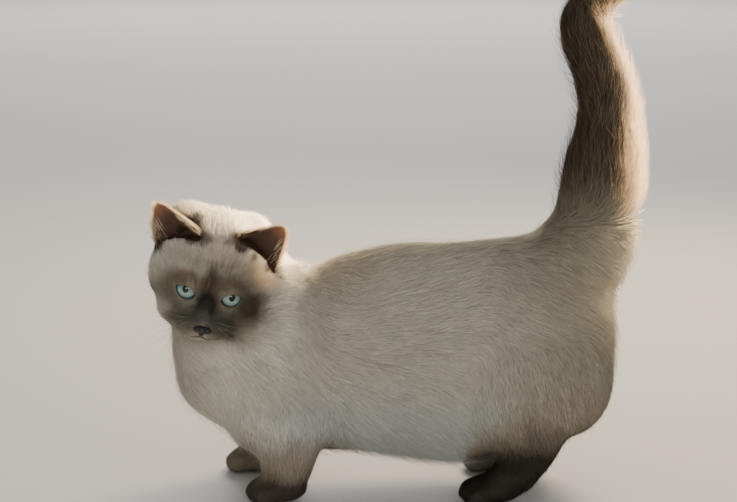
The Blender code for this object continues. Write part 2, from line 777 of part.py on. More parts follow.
def main():
    """Builds the cat."""
    clear_scene()
    body = fused_body()
    fine = thin_out(copy_of(body, "fine"), HEAD_TRIANGLES)
    thin_out(body, BODY_TRIANGLES)
    boolean(body, block((-REACH, -REACH, -REACH), (REACH, REACH, 0.0)), "DIFFERENCE")
    head, neck, nape = part_head(body, fine)
    nodes = [head, neck, nape, *furnish_head(head)]
    nodes += part_tail(body)
    nodes += part_legs(body)
    nodes += part_trunk(body)
    for node in nodes:
        node.data.transform(Matrix.Translation(STANDS_AT))
        dress(node)


if __name__ == "__main__":
    main()
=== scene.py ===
"""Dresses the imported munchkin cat: one skin, a coat of solid tufts, eyes, nose, ears and whiskers.

Metres, in the frame of the solids: +Z up, the trunk faces -Y and the cat's left side is +X. The
head has a frame of its own, +X its left, -Y forward, +Z up, with its origin between the eyes.
"""

import logging
import math
from dataclasses import dataclass, field
from enum import Enum

import bmesh
import bpy
import numpy as np
from mathutils import Matrix, Vector
from mathutils.bvhtree import BVHTree
from mathutils.kdtree import KDTree


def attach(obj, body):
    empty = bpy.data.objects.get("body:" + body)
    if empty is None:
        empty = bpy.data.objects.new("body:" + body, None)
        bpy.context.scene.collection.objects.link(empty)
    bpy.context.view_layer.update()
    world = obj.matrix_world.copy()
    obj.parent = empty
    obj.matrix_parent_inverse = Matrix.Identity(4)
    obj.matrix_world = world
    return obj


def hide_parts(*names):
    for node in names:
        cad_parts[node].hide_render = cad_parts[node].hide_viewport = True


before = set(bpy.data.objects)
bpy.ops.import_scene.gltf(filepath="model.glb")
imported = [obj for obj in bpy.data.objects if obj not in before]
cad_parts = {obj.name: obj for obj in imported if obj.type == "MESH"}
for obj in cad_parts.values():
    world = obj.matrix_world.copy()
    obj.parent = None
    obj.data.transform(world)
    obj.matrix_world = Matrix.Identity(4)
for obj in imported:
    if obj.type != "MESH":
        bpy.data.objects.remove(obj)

log = logging.getLogger("cat")

UNWRAP = "OFBake"
COAT = "Coat"

# Brings the solids' own drawing frame to the row frame
STANDS_AT = Vector((-0.0058, -0.0198, 0.0))

# The head: the place between its eyes, and how it is turned
FACE_AT = STANDS_AT + Vector((0.0600, -0.1095, 0.1525))
HEAD_YAW = math.radians(92.0)
HEAD_PITCH = math.radians(15.0)
HEAD_ROLL = math.radians(12.6)
HEAD = (
    Matrix.Translation(FACE_AT)
    @ Matrix.Rotation(HEAD_YAW, 4, "Z")
    @ Matrix.Rotation(HEAD_PITCH, 4, "X")
    @ Matrix.Rotation(HEAD_ROLL, 4, "Y")
)

# The tail's centre line, from its root to its tip
TAIL_LINE = np.array(
    [
        (0.000, 0.1330, 0.1480),
        (0.000, 0.1500, 0.1700),
        (0.000, 0.1595, 0.1900),
        (0.001, 0.1635, 0.2100),
        (0.002, 0.1650, 0.2330),
        (0.003, 0.1672, 0.2520),
        (0.003, 0.1680, 0.2700),
        (0.002, 0.1656, 0.2890),
        (0.000, 0.1600, 0.3070),
        (-0.002, 0.1530, 0.3230),
        (-0.003, 0.1510, 0.3370),
        (-0.003, 0.1590, 0.3490),
        (-0.002, 0.1725, 0.3590),
        (0.000, 0.1850, 0.3660),
    ]
) + np.array(STANDS_AT)


def srgb(red: float, green: float, blue: float) -> np.ndarray:
    """A linear colour from the three numbers, 0 to 255, that a screen shows."""
    value = np.array([red, green, blue]) / 255.0
    return np.where(value <= 0.04045, value / 12.92, ((value + 0.055) / 1.055) ** 2.4)


class Side(Enum):
    """The cat's own left and right, as the sign of the head's X."""

    LEFT = 1
    RIGHT = -1

    @property
    def word(self) -> str:
        """The side's name as the nodes have it."""
        return self.name.lower()

    @property
    def frame(self) -> Matrix:
        """The head's frame, mirrored across its middle plane for the right side."""
        return HEAD @ Matrix.Diagonal((self.value, 1.0, 1.0, 1.0))


# Arrays


def smooth_step(low: float, high: float, value: np.ndarray) -> np.ndarray:
    """0 below low, 1 above high and an even turn between, also where low is the higher."""
    t = np.clip((value - low) / (high - low), 0.0, 1.0)
    return t * t * (3.0 - 2.0 * t)


def unit(vectors: np.ndarray) -> np.ndarray:
    """The same directions, one long."""
    return vectors / np.maximum(np.linalg.norm(vectors, axis=-1, keepdims=True), 1e-12)


def blend(first: np.ndarray, second: np.ndarray, share: np.ndarray) -> np.ndarray:
    """Rows of first turned into second by each row's share."""
    return first + (second - first) * share[:, None]


def laid(vectors: np.ndarray, normals: np.ndarray) -> np.ndarray:
    """Directions laid along a surface that has those normals, one long."""
    return unit(vectors - normals * (vectors * normals).sum(1, keepdims=True))


def away_from(points: np.ndarray, place: Vector | tuple) -> np.ndarray:
    """How far each point is from a place."""
    return np.linalg.norm(points - np.array(place), axis=1)


def lattice_noise(points: np.ndarray, scale: float, seed: int) -> np.ndarray:
    """Smooth random values from -1 to 1 that change over a distance.

    Args:
        points: Places, one a row.
        scale: The distance in metres over which the values change.
        seed: Picks the pattern.

    Returns:
        One value a place.
    """
    cell = np.floor(points / scale).astype(np.int64)
    part = points / scale - cell
    part = part * part * (3.0 - 2.0 * part)
    total = np.zeros(len(points))
    for corner in np.ndindex(2, 2, 2):
        x, y, z = (cell + np.array(corner)).T
        mixed = (x * 73856093) ^ (y * 19349663) ^ (z * 83492791) ^ (seed * 2654435761)
        mixed = (mixed ^ (mixed >> 13)) * 1274126177
        value = ((mixed ^ (mixed >> 16)) & 0xFFFF) / 32767.5 - 1.0
        near = np.where(np.array(corner) == 1, part, 1.0 - part)
        total += value * near.prod(axis=1)
    return total


def vector_noise(points: np.ndarray, scale: float, seed: int) -> np.ndarray:
    """Smooth random directions, one a row, of a length of about 1 at most."""
    return np.stack([lattice_noise(points, scale, seed + k) for k in range(3)], axis=1)


def in_head(points: np.ndarray) -> np.ndarray:
    """Places in the head's own frame."""
    turn = np.array(HEAD.inverted())
    return points @ turn[:3, :3].T + turn[:3, 3]


def from_head(vectors: np.ndarray) -> np.ndarray:
    """Directions of the head's own frame, as directions of the row frame."""
    return vectors @ np.array(HEAD)[:3, :3].T


# Meshes


def new_object(name: str, mesh: bpy.types.Mesh) -> bpy.types.Object:
    """An object for mesh, in the scene."""
    made = bpy.data.objects.new(name, mesh)
    bpy.context.scene.collection.objects.link(made)
    return made


def object_from(bm: bmesh.types.BMesh, name: str) -> bpy.types.Object:
    """Turns bm into an object whose faces point out.

    Args:
        bm: Closed surfaces. It is freed.
        name: The object's name.

    Returns:
        The new object.
    """
    bmesh.ops.recalc_face_normals(bm, faces=bm.faces)
    mesh = bpy.data.meshes.new(name)
    bm.to_mesh(mesh)
    bm.free()
    return new_object(name, mesh)


def apply_modifiers(obj: bpy.types.Object) -> bpy.types.Object:
    """Turns an object's mesh into what its modifiers make of it.

    Args:
        obj: The object.

    Returns:
        The same object, without modifiers.
    """
    bpy.context.view_layer.update()
    graph = bpy.context.evaluated_depsgraph_get()
    mesh = bpy.data.meshes.new_from_object(obj.evaluated_get(graph))
    obj.modifiers.clear()
    old, obj.data = obj.data, mesh
    bpy.data.meshes.remove(old)
    return obj


def soften(obj: bpy.types.Object, rounds: int) -> None:
    """Adds a modifier that evens the mesh out."""
    step = obj.modifiers.new("Soften", "SMOOTH")
    step.factor = 0.5
    step.iterations = rounds


class Operation(Enum):
    """What becomes of the other solid in a boolean."""

    JOIN = "UNION"
    CUT = "DIFFERENCE"


def boolean(obj: bpy.types.Object, other: bpy.types.Object, operation: Operation) -> None:
    """Joins another solid to an object or cuts it away.

    Args:
        obj: The object that is changed.
        other: The other solid, which is removed.
        operation: Whether it is joined or cut away.
    """
    step = obj.modifiers.new(operation.name, "BOOLEAN")
    step.operation = operation.value
    step.solver = "MANIFOLD"
    step.object = other
    apply_modifiers(obj)
    mesh = other.data
    bpy.data.objects.remove(other)
    bpy.data.meshes.remove(mesh)


def add_rings(bm: bmesh.types.BMesh, rings: list) -> None:
    """Joins rings of points into a closed tube, with a face on each end.

    Args:
        bm: What the tube is added to.
        rings: Lists of points, each as long as the others.
    """
    made = [[bm.verts.new(p) for p in ring] for ring in rings]
    sides = len(made[0])
    for low, high in zip(made, made[1:]):
        for i in range(sides):
            j = (i + 1) % sides
            bm.faces.new((low[i], low[j], high[j], high[i]))
    bm.faces.new(reversed(made[0]))
    bm.faces.new(made[-1])


def finish_piece(
    piece: bpy.types.Object, material: bpy.types.Material, slot: str, *nodes: str
) -> None:
    """Gives a piece its material, and sets it on the frame.

    Args:
        piece: The finished object, at the origin.
        material: What covers it.
        slot: Not used.
        nodes: The solids that it stands for.
    """
    piece.data.materials.clear()
    piece.data.materials.append(material)
    piece.data.shade_smooth()
    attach(piece, "root")
    if nodes:
        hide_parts(*nodes)
    log.info("%s: %d faces", piece.name, len(piece.data.polygons))


# Nodes and finishes


def fill(tree: bpy.types.NodeTree, node: bpy.types.Node, inputs: dict) -> None:
    """Gives a node's inputs their values.

    Args:
        tree: The tree that the node is in.
        node: The node.
        inputs: For an input's name or number, a value or the socket that feeds it.
    """
    for name, value in inputs.items():
        if isinstance(value, bpy.types.NodeSocket):
            tree.links.new(value, node.inputs[name])
        else:
            node.inputs[name].default_value = value


def add_node(
    tree: bpy.types.NodeTree, kind: str, inputs: dict | None = None, **settings: str
) -> bpy.types.Node:
    """Adds a node to a tree.

    Args:
        tree: The tree.
        kind: The node's type.
        inputs: What goes into it, as fill takes it.
        settings: Its own choices, such as its operation.

    Returns:
        The node.
    """
    made = tree.nodes.new(kind)
    for name, value in settings.items():
        setattr(made, name, value)
    fill(tree, made, inputs or {})
    return made


def grain(tree: bpy.types.NodeTree, scale: float, detail: float) -> bpy.types.NodeSocket:
    """Soft noise over a piece's own coordinates."""
    place = add_node(tree, "ShaderNodeTexCoord").outputs["Object"]
    inputs = {"Vector": place, "Scale": scale, "Detail": detail}
    return add_node(tree, "ShaderNodeTexNoise", inputs).outputs["Fac"]


def multiplied(
    tree: bpy.types.NodeTree, colour: bpy.types.NodeSocket | tuple, by: bpy.types.NodeSocket
) -> bpy.types.NodeSocket:
    """One colour multiplied by another."""
    inputs = {"Factor": 1.0, "A": colour, "B": by}
    mix = add_node(tree, "ShaderNodeMix", inputs, data_type="RGBA", blend_type="MULTIPLY")
    return mix.outputs["Result"]


@dataclass(frozen=True)
class Finish:
    """A material whose colour is an attribute of the mesh or one plain colour."""

    name: str
    colour: tuple = (0.5, 0.5, 0.5)
    attribute: str = ""
    roughness: float = 0.6
    specular: float = 0.3
    glow: float = 0.0
    bump: float = 0.0
    bump_scale: float = 900.0
    bump_depth: float = 0.0005
    mottle: float = 0.0
    mottle_scale: float = 250.0

    def make(self) -> bpy.types.Material:
        """Builds the material.

        Returns:
            The material, with its nodes.
        """
        material = bpy.data.materials.new(self.name)
        material.use_nodes = True
        tree = material.node_tree
        shader = tree.nodes["Principled BSDF"]
        colour = self.colour_source(tree)
        inputs = {"Base Color": colour, "Roughness": self.roughness}
        inputs["Specular IOR Level"] = self.specular
        fill(tree, shader, inputs)
        if self.bump:
            height = grain(tree, self.bump_scale, 5.0)
            inputs = {"Strength": self.bump, "Distance": self.bump_depth, "Height": height}
            bump = add_node(tree, "ShaderNodeBump", inputs)
            fill(tree, shader, {"Normal": bump.outputs["Normal"]})
        if self.glow:
            self.add_glow(tree, shader, colour)
        return material

    def colour_source(self, tree: bpy.types.NodeTree) -> bpy.types.NodeSocket | tuple:
        """The colour, or the socket that carries it.

        Args:
            tree: The material's nodes.

        Returns:
            A plain colour, or the socket of the attribute or of the mottled colour.
        """
        source = (*self.colour, 1.0)
        if self.attribute:
            reader = add_node(tree, "ShaderNodeAttribute", attribute_name=self.attribute)
            source = reader.outputs["Color"]
        if self.mottle:
            inputs = {"Value": grain(tree, self.mottle_scale, 4.0)}
            inputs.update({"To Min": 1.0 - self.mottle, "To Max": 1.0 + self.mottle})
            level = add_node(tree, "ShaderNodeMapRange", inputs).outputs["Result"]
            source = multiplied(tree, source, level)
        return source

    def add_glow(
        self,
        tree: bpy.types.NodeTree,
        shader: bpy.types.Node,
        colour: bpy.types.NodeSocket | tuple,
    ) -> None:
        """Lets light from behind shine through, as it does through hair and thin skin.

        Args:
            tree: The material's nodes.
            shader: The node that it is mixed with.
            colour: The colour of the light that comes through.
        """
        through = add_node(tree, "ShaderNodeBsdfTranslucent", {"Color": colour})
        inputs = {"Fac": self.glow, 1: shader.outputs["BSDF"], 2: through.outputs["BSDF"]}
        mix = add_node(tree, "ShaderNodeMixShader", inputs)
        fill(tree, tree.nodes["Material Output"], {"Surface": mix.outputs["Shader"]})


COAT_FINISH = Finish("coat_hair", attribute=COAT, roughness=0.6, specular=0.2, glow=0.35)
SKIN_FINISH = Finish("skin", attribute=COAT, roughness=0.65, bump=0.35, mottle=0.15, glow=0.25)
RIM_FINISH = Finish(
    "lid_rim", tuple(srgb(38, 30, 27)), roughness=0.35, specular=0.5, bump=0.15, mottle=0.2
)
NOSE_FINISH = Finish(
    "nose_leather",
    tuple(srgb(27, 24, 23)),
    roughness=0.55,
    specular=0.4,
    bump=0.5,
    bump_scale=1600.0,
    mottle=0.25,
)
WHISKER_FINISH = Finish("whisker", tuple(srgb(132, 122, 104)), roughness=0.4, glow=0.2)
# Cream tufts: the cups' own cream hair, and the rim fringe, whose pale gold is partly painted
# backlight.
CREAM_TUFT_FINISH = Finish("cream_tuft", tuple(srgb(226, 208, 176)), roughness=0.5, glow=0.4)
DARK_TUFT_FINISH = Finish("dark_tuft", tuple(srgb(74, 56, 44)), roughness=0.5, glow=0.3)
LIP_FINISH = Finish("lip", tuple(srgb(30, 26, 24)), roughness=0.5, bump=0.2, mottle=0.2)


# The skin and its map


@dataclass(frozen=True)
class Growth:
    """How a region's hair grows: a tuft's sizes in millimetres and tufts to a square cm."""

    length: float
    depth: float
    width: float
    density: float
    # The piece that it goes into, how the names of its solids begin, and a plain way to point
    piece: str
    nodes: tuple = ()
    way: tuple | None = None


class Region(Enum):
    """The parts of the body whose hair grows alike."""

    FACE = Growth(5.5, 1.4, 0.34, 560.0, "face")
    CROWN = Growth(10.0, 3.2, 0.42, 260.0, "head", ("head",))
    CHEEK = Growth(13.0, 4.0, 0.46, 225.0, "head")
    EAR_BACK = Growth(4.5, 1.0, 0.34, 380.0, "face_ears", ("ear",))
    EAR_CUP = Growth(4.5, 0.9, 0.28, 200.0, "face_ears")
    NECK = Growth(17.0, 7.0, 0.56, 145.0, "neck", ("neck", "nape"), (-0.10, 0.75, -0.62))
    CHEST = Growth(19.0, 7.5, 0.58, 120.0, "chest", ("chest",), (0.0, 0.75, -0.75))
    TRUNK = Growth(20.0, 7.0, 0.60, 108.0, "trunk", ("barrel",))
    RUMP = Growth(19.0, 6.5, 0.60, 110.0, "rump", ("rump",), (0.0, 0.8, -0.55))
    TAIL = Growth(21.0, 9.0, 0.55, 150.0, "tail", ("tail",))
    FORELEG = Growth(9.0, 3.0, 0.50, 125.0, "legs", ("foreleg",), (0.0, 0.10, -1.0))
    HINDLEG = Growth(10.0, 3.5, 0.52, 115.0, "legs", ("hindleg",), (0.0, 0.25, -1.0))
    PAW = Growth(5.0, 1.3, 0.40, 200.0, "feet", ("forepaw", "hindpaw"), (0.0, -1.0, -0.5))

    @property
    def number(self) -> int:
        """Its place in the order of the regions."""
        return list(Region).index(self)


def region_of(node: str) -> Region:
    """The region that a solid belongs to, by the start of its name."""
    return next(region for region in Region if node.startswith(region.value.nodes))


@dataclass
class Surface:
    """A triangulated surface as arrays, to grow hair on."""

    points: np.ndarray
    faces: np.ndarray
    normals: np.ndarray
    flat: np.ndarray | None = None

    @classmethod
    def of(cls, obj: bpy.types.Object) -> "Surface":
        """Reads obj's mesh, and its unwrap if it has one.

        Args:
            obj: An object at the origin.

        Returns:
            The surface.
        """
        mesh = obj.data
        mesh.calc_loop_triangles()
        sizes = len(mesh.vertices), len(mesh.loop_triangles), len(mesh.loops)
        points, normals = np.empty(sizes[0] * 3), np.empty(sizes[0] * 3)
        mesh.vertices.foreach_get("co", points)
        mesh.vertices.foreach_get("normal", normals)
        faces = np.empty(sizes[1] * 3, np.int64)
        mesh.loop_triangles.foreach_get("vertices", faces)
        flat = None
        if UNWRAP in mesh.uv_layers:
            corners, places = np.empty(len(faces), np.int64), np.empty(sizes[2] * 2)
            mesh.loop_triangles.foreach_get("loops", corners)
            mesh.uv_layers[UNWRAP].data.foreach_get("uv", places)
            flat = places.reshape(-1, 2)[corners].reshape(-1, 3, 2)
        return cls(points.reshape(-1, 3), faces.reshape(-1, 3), normals.reshape(-1, 3), flat)

    def diffused(self, values: np.ndarray, rounds: int) -> np.ndarray:
        """Values of the points, evened out with their neighbours'.

        Args:
            values: One row a point.
            rounds: How many times each point takes the middle of its neighbours.

        Returns:
            The evened values.
        """
        ends = np.vstack([self.faces[:, [0, 1]], self.faces[:, [1, 2]], self.faces[:, [2, 0]]])
        start, end = np.vstack([ends, ends[:, ::-1]]).T
        size = len(self.points)
        degree = np.maximum(np.bincount(start, minlength=size), 1)
        result = values.astype(float)
        for _ in range(rounds):
            for k in range(result.shape[1]):
                total = np.bincount(start, result[end, k], size)
                result[:, k] = 0.5 * result[:, k] + 0.5 * total / degree
        return result

    def areas(self) -> np.ndarray:
        """The area of each face."""
        a, b, c = (self.points[self.faces[:, k]] for k in range(3))
        return 0.5 * np.linalg.norm(np.cross(b - a, c - a), axis=1)


@dataclass
class CoatMap:
    """What the hair does at each point of a surface."""

    surface: Surface
    share: dict = field(default_factory=dict)
    size: np.ndarray | None = None
    lie: np.ndarray | None = None

    # The face ends behind this, above this and beside this in the head's frame
    face_end: tuple = (0.034, 0.021, 0.020)
    cheek_top: float = 0.004

    def __post_init__(self) -> None:
        """Works the map out."""
        self.head = in_head(self.surface.points)
        regions = self.regions()
        even = self.surface.diffused(np.eye(len(Region))[regions], 14)
        self.share = {region: even[:, region.number] for region in Region}
        growths = [region.value for region in Region]
        rows = np.array([[g.length, g.depth, g.width, g.density] for g in growths])
        self.size = self.surface.diffused(rows[regions], 70)
        self.shorten_round_openings()
        self.lie = self.lies(regions)

    def regions(self) -> np.ndarray:
        """The number of each point's region, by the solid that it is nearest to.

        Returns:
            Numbers in the order of Region.
        """
        named = []
        for name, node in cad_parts.items():
            if not name.startswith(("eye", "nose")):
                number = region_of(name).number
                named += [(v.co, number) for v in node.data.vertices]
        tree = KDTree(len(named))
        for i, (place, _) in enumerate(named):
            tree.insert(place, i)
        tree.balance()
        found = np.array([named[tree.find(p)[1]][1] for p in self.surface.points])
        x, y, z = self.head.T
        on_head = found == Region.CROWN.number
        beside, behind, above = self.face_end
        face = on_head & (y < behind) & (z < above) & (np.abs(x) < beside)
        found[on_head & ~face & (z < self.cheek_top)] = Region.CHEEK.number
        found[face] = Region.FACE.number
        for side in Side:
            found[Ear(side).outside_cup(self.head) < 0.0002] = Region.EAR_CUP.number
        return found

    def shorten_round_openings(self) -> None:
        """Makes the hair short and flat beside the eyes, in the ears' cups and by the nose."""
        steps = []
        for side in Side:
            away = away_from(self.head, Eye(side).centre())
            steps.append((smooth_step(0.024, 0.0125, away), (0.45, 0.60, 0.15)))
            cup = Ear(side).outside_cup(self.head)
            steps.append((smooth_step(0.010, 0.001, cup), (0.35, 0.35, 0.0)))
        near_nose = smooth_step(0.020, 0.007, away_from(self.head, NOSE_AT))
        steps.append((near_nose, (0.50, 0.50, 0.0)))
        for near, less in steps:
            self.size[:, :3] *= 1.0 - near[:, None] * np.array(less)

    def lies(self, regions: np.ndarray) -> np.ndarray:
        """The way the hair points on each place, along the surface.

        Args:
            regions: The number of each point's region.

        Returns:
            Directions, one long.
        """
        points, normals = self.surface.points, self.surface.normals
        lie = np.zeros_like(points)
        for region in Region:
            at = regions == region.number
            lie[at] = self.growth_direction(region, points[at], self.head[at])
        lie = self.surface.diffused(laid(lie, normals), 16)
        for side in Side:
            lie = self.swept_round(lie, np.array(Eye(side).centre()))
        return laid(lie, normals)

    def growth_direction(
        self, region: Region, points: np.ndarray, head: np.ndarray
    ) -> np.ndarray:
        """Where a region's hair points before it is laid on the surface.

        Args:
            region: The region.
            points: Its places in the row frame.
            head: The same places in the head's frame.

        Returns:
            One direction a place.
        """
        if region.value.way:
            return np.tile(region.value.way, (len(points), 1))
        if region == Region.TRUNK:
            fan = np.interp(points[:, 2], (0.03, 0.10, 0.13, 0.17), (-0.9, -0.25, 0.10, 0.45))
            return np.stack([np.zeros(len(fan)), np.ones(len(fan)), fan], axis=1)
        if region == Region.TAIL:
            return self.along_tail(points)
        if region in (Region.EAR_BACK, Region.EAR_CUP):
            ways = [np.array(Ear(side).way_up()) for side in (Side.LEFT, Side.RIGHT)]
            return np.where(head[:, :1] > 0, ways[0], ways[1])
        spread = head - np.array((0.0, -0.019, -0.016))
        spread[:, 2] -= 0.55 * np.clip(head[:, 1] - 0.018, 0.0, None)
        return from_head(spread)

    @staticmethod
    def along_tail(points: np.ndarray) -> np.ndarray:
        """The way along the tail's line, to its tip, nearest each place."""
        steps = np.gradient(TAIL_LINE, axis=0)
        apart = np.linalg.norm(points[:, None, :] - TAIL_LINE[None, :, :], axis=2)
        weight = np.exp(-((apart / 0.016) ** 2)) + 1e-9
        return unit(weight @ unit(steps))

    def swept_round(self, lie: np.ndarray, centre: np.ndarray) -> np.ndarray:
        """Turns the hair beside an eye away from it, so that none lies over it.

        Args:
            lie: Directions of the hair.
            centre: The eye's centre in the head's frame.

        Returns:
            The turned directions.
        """
        outward = self.head - centre
        away = np.linalg.norm(outward, axis=1)
        outward = laid(from_head(unit(outward)), self.surface.normals)
        near = smooth_step(0.021, 0.0135, away)[:, None]
        inward = np.minimum((lie * outward).sum(1, keepdims=True), 0.0)
        return lie - near * inward * outward + 0.45 * near * outward


@dataclass(frozen=True)
class Spot:
    """A soft spot of colour on the face: where it is in the face's picture, and how large."""

    across: float
    high: float
    half_width: float
    half_height: float
    colour: tuple
    share: float = 0.9

    def share_at(self, x: np.ndarray, high: np.ndarray) -> np.ndarray:
        """How much of the spot each place shows, where the middle is full."""
        away = np.hypot((x - self.across) / self.half_width, (high - self.high) / self.half_height)
        return self.share * smooth_step(1.55, 0.45, away)


@dataclass
class Markings:
    """The coat's colours, from formulas over the body."""

    points: np.ndarray
    head: np.ndarray
    share: dict

    cream = srgb(216, 209, 192)
    beige = srgb(188, 181, 164)
    belly = srgb(184, 185, 178)
    saddle = srgb(142, 132, 110)
    leg = srgb(152, 140, 121)
    point = srgb(64, 56, 46)
    hind_point = srgb(46, 40, 32)
    tail_dark = srgb(66, 57, 46)
    # Painted backlight: the gold that light from behind gives the tail's hair
    tail_backlit_gold = srgb(212, 182, 144)
    streak = srgb(92, 76, 56)
    cup = srgb(98, 76, 65)
    # Painted backlight: the red-brown of light shining through the ears' tips
    cup_tip_backlit = srgb(166, 112, 80)
    ear_back = srgb(176, 150, 120)
    ear_foot = srgb(46, 36, 28)

    # The dark fur round the ears' feet: middles in the head's frame, and radii
    ear_feet = (
        ((-0.0180, 0.0300, 0.0400), 0.0060),
        ((-0.0165, 0.0200, 0.0360), 0.0060),
        ((-0.0180, 0.0150, 0.0290), 0.0045),
        ((-0.0385, 0.0260, 0.0140), 0.0060),
        ((0.0135, 0.0190, 0.0360), 0.0060),
        ((0.0155, 0.0135, 0.0300), 0.0050),
        ((0.0250, 0.0150, 0.0250), 0.0035),
        ((0.0370, 0.0240, 0.0160), 0.0050),
        ((0.0430, 0.0370, 0.0130), 0.0045),
    )

    face = (
        Spot(0.0, 0.0260, 0.0330, 0.0120, (184, 173, 154), 0.9),
        Spot(0.0340, 0.0190, 0.0120, 0.0090, (150, 130, 104)),
        Spot(0.0050, -0.0070, 0.0345, 0.0245, (104, 91, 74), 0.95),
        Spot(-0.0325, -0.0110, 0.0085, 0.0095, (190, 183, 168)),
        Spot(-0.0260, -0.0010, 0.0085, 0.0105, (88, 82, 68)),
        Spot(0.0275, -0.0020, 0.0088, 0.0125, (60, 51, 37)),
        Spot(-0.0190, 0.0090, 0.0100, 0.0050, (100, 84, 66)),
        Spot(0.0160, 0.0100, 0.0100, 0.0050, (80, 70, 53)),
        Spot(0.0, 0.0030, 0.0080, 0.0100, (42, 36, 27)),
        Spot(0.0, -0.0070, 0.0092, 0.0095, (32, 31, 26), 0.95),
        Spot(-0.0150, -0.0098, 0.0080, 0.0035, (92, 89, 80)),
        Spot(0.0150, -0.0098, 0.0080, 0.0035, (78, 74, 64)),
        Spot(-0.0120, -0.0200, 0.0095, 0.0068, (72, 71, 63)),
        Spot(0.0125, -0.0190, 0.0095, 0.0066, (66, 66, 58)),
        Spot(0.0, -0.0165, 0.0045, 0.0040, (82, 81, 74)),
        Spot(0.0, -0.0345, 0.0180, 0.0045, (222, 217, 200)),
    )

    def colours(self) -> np.ndarray:
        """The coat's colour at each place.

        Returns:
            Linear colours, one a row.
        """
        colour = self.body()
        for step in (self.with_legs, self.with_tail, self.with_head, self.with_ears):
            colour = step(colour)
        return colour

    def part(self, *regions: Region) -> np.ndarray:
        """How much each place belongs to any of the regions, 0 to 1."""
        return np.clip(sum(self.share[region] for region in regions), 0.0, 1.0)

    def plain(self, colour: np.ndarray) -> np.ndarray:
        """One colour at each place."""
        return np.tile(colour, (len(self.points), 1))

    def body(self) -> np.ndarray:
        """Trunk and neck: beige flanks, a pale belly and chest, a browner rump.

        Returns:
            Colours, one a row.
        """
        _, y, z = self.points.T
        drift = 0.012 * lattice_noise(self.points, 0.03, 5)
        up = smooth_step(0.045, 0.115, z + drift)
        colour = blend(self.plain(self.belly), self.plain(self.beige), up)
        colour = blend(colour, self.saddle, 0.75 * smooth_step(0.03, 0.13, y + drift))
        return blend(colour, self.cream, 0.8 * smooth_step(-0.06, -0.12, y + drift))

    def with_legs(self, colour: np.ndarray) -> np.ndarray:
        """Darker down each leg, darkest on the paws, and higher up on the hind legs; on the far side
        the points are painted lighter, standing in for the haze over them.

        Args:
            colour: Colours before it.

        Returns:
            Colours with the legs' own.
        """
        x, y, _ = self.points.T
        z = self.points[:, 2] + 0.006 * lattice_noise(self.points, 0.012, 9)
        hind = smooth_step(-0.02, 0.02, y)
        z = z - (0.028 + 0.60 * np.clip(y - 0.085, -0.030, 0.006)) * hind
        on_leg = self.part(Region.FORELEG, Region.HINDLEG, Region.PAW)
        colour = blend(colour, self.leg, on_leg * smooth_step(0.070, 0.030, z))
        point = blend(self.plain(self.point), self.hind_point, hind)
        # Painted haze: the dark points of the legs on the far side are lightened.
        far = smooth_step(0.0, -0.02, x)
        dark = smooth_step(0.035 + 0.007 * hind, 0.010 - 0.004 * hind, z)
        return blend(colour, point, on_leg * dark * (1.0 - 0.45 * far))

    def with_tail(self, colour: np.ndarray) -> np.ndarray:
        """Dark brown up the tail, with painted backlight: golden on the side that looks back, toward
        the light behind the cat.

        Args:
            colour: Colours before it.

        Returns:
            Colours with the tail's own.
        """
        _, y, z = self.points.T
        centre = np.interp(z, TAIL_LINE[:, 2], TAIL_LINE[:, 1])
        # Painted backlight: the side of the tail that looks back is turned golden.
        behind = smooth_step(0.004, 0.015, y - centre)
        bands = 0.10 * np.sin(z / 0.0045 + 2.0 * lattice_noise(self.points, 0.02, 3))
        dark = blend(self.plain(self.tail_dark), self.tail_backlit_gold, 0.85 * behind)
        dark = dark * (1.0 + bands)[:, None] * (1.0 - 0.3 * smooth_step(0.30, 0.36, z))[:, None]
        return blend(colour, dark, self.share[Region.TAIL] * smooth_step(0.168, 0.228, z))

    def with_head(self, colour: np.ndarray) -> np.ndarray:
        """Pale crown and cheeks, the soft mask and the streaks that rise from the brows.

        Args:
            colour: Colours before it.

        Returns:
            Colours with the head's own.
        """
        x, y, z = self.head.T
        on_head = self.part(Region.FACE, Region.CROWN, Region.CHEEK)
        drift = 0.0020 * lattice_noise(self.points, 0.007, 21)
        high = 0.906 * z + 0.423 * y + drift
        colour = blend(colour, self.cream, on_head * 0.85)
        front = on_head * smooth_step(0.032, 0.017, y)
        for spot in self.face:
            colour = blend(colour, srgb(*spot.colour), front * spot.share_at(x + drift, high))
        drawn = np.stack([x, 0.16 * high, np.zeros(len(x))], axis=1)
        streaks = smooth_step(-0.25, 0.45, lattice_noise(drawn, 0.0011, 33))
        brow = smooth_step(0.028, 0.008, high) * smooth_step(-0.004, 0.004, high)
        brow = brow * smooth_step(0.026, 0.010, np.abs(x))
        return blend(colour, self.streak, front * brow * streaks * 0.85)

    def with_ears(self, colour: np.ndarray) -> np.ndarray:
        """Golden brown backs, dark cups with tips painted red-brown and lighter, as light from
        behind shines through them, and dark fur at their inner feet.

        Args:
            colour: Colours before it.

        Returns:
            Colours with the ears' own.
        """
        colour = blend(colour, self.ear_back, self.part(Region.EAR_BACK))
        cup = self.plain(self.cup)
        drift = 0.0016 * lattice_noise(self.points, 0.003, 27)
        for middle, radius in self.ear_feet:
            foot = away_from(self.head, middle) + drift
            near = smooth_step(1.4 * radius, 0.6 * radius, foot)
            colour = blend(colour, self.ear_foot, 0.95 * near)
        for side in Side:
            ear = Ear(side)
            up = ear.up(self.head)
            edge = smooth_step(0.0035, 0.0005, ear.outside_cup(self.head))
            colour = blend(colour, self.ear_foot, 0.6 * edge * smooth_step(0.6, 0.1, up))
            own = self.head[:, 0] * side.value > 0.0
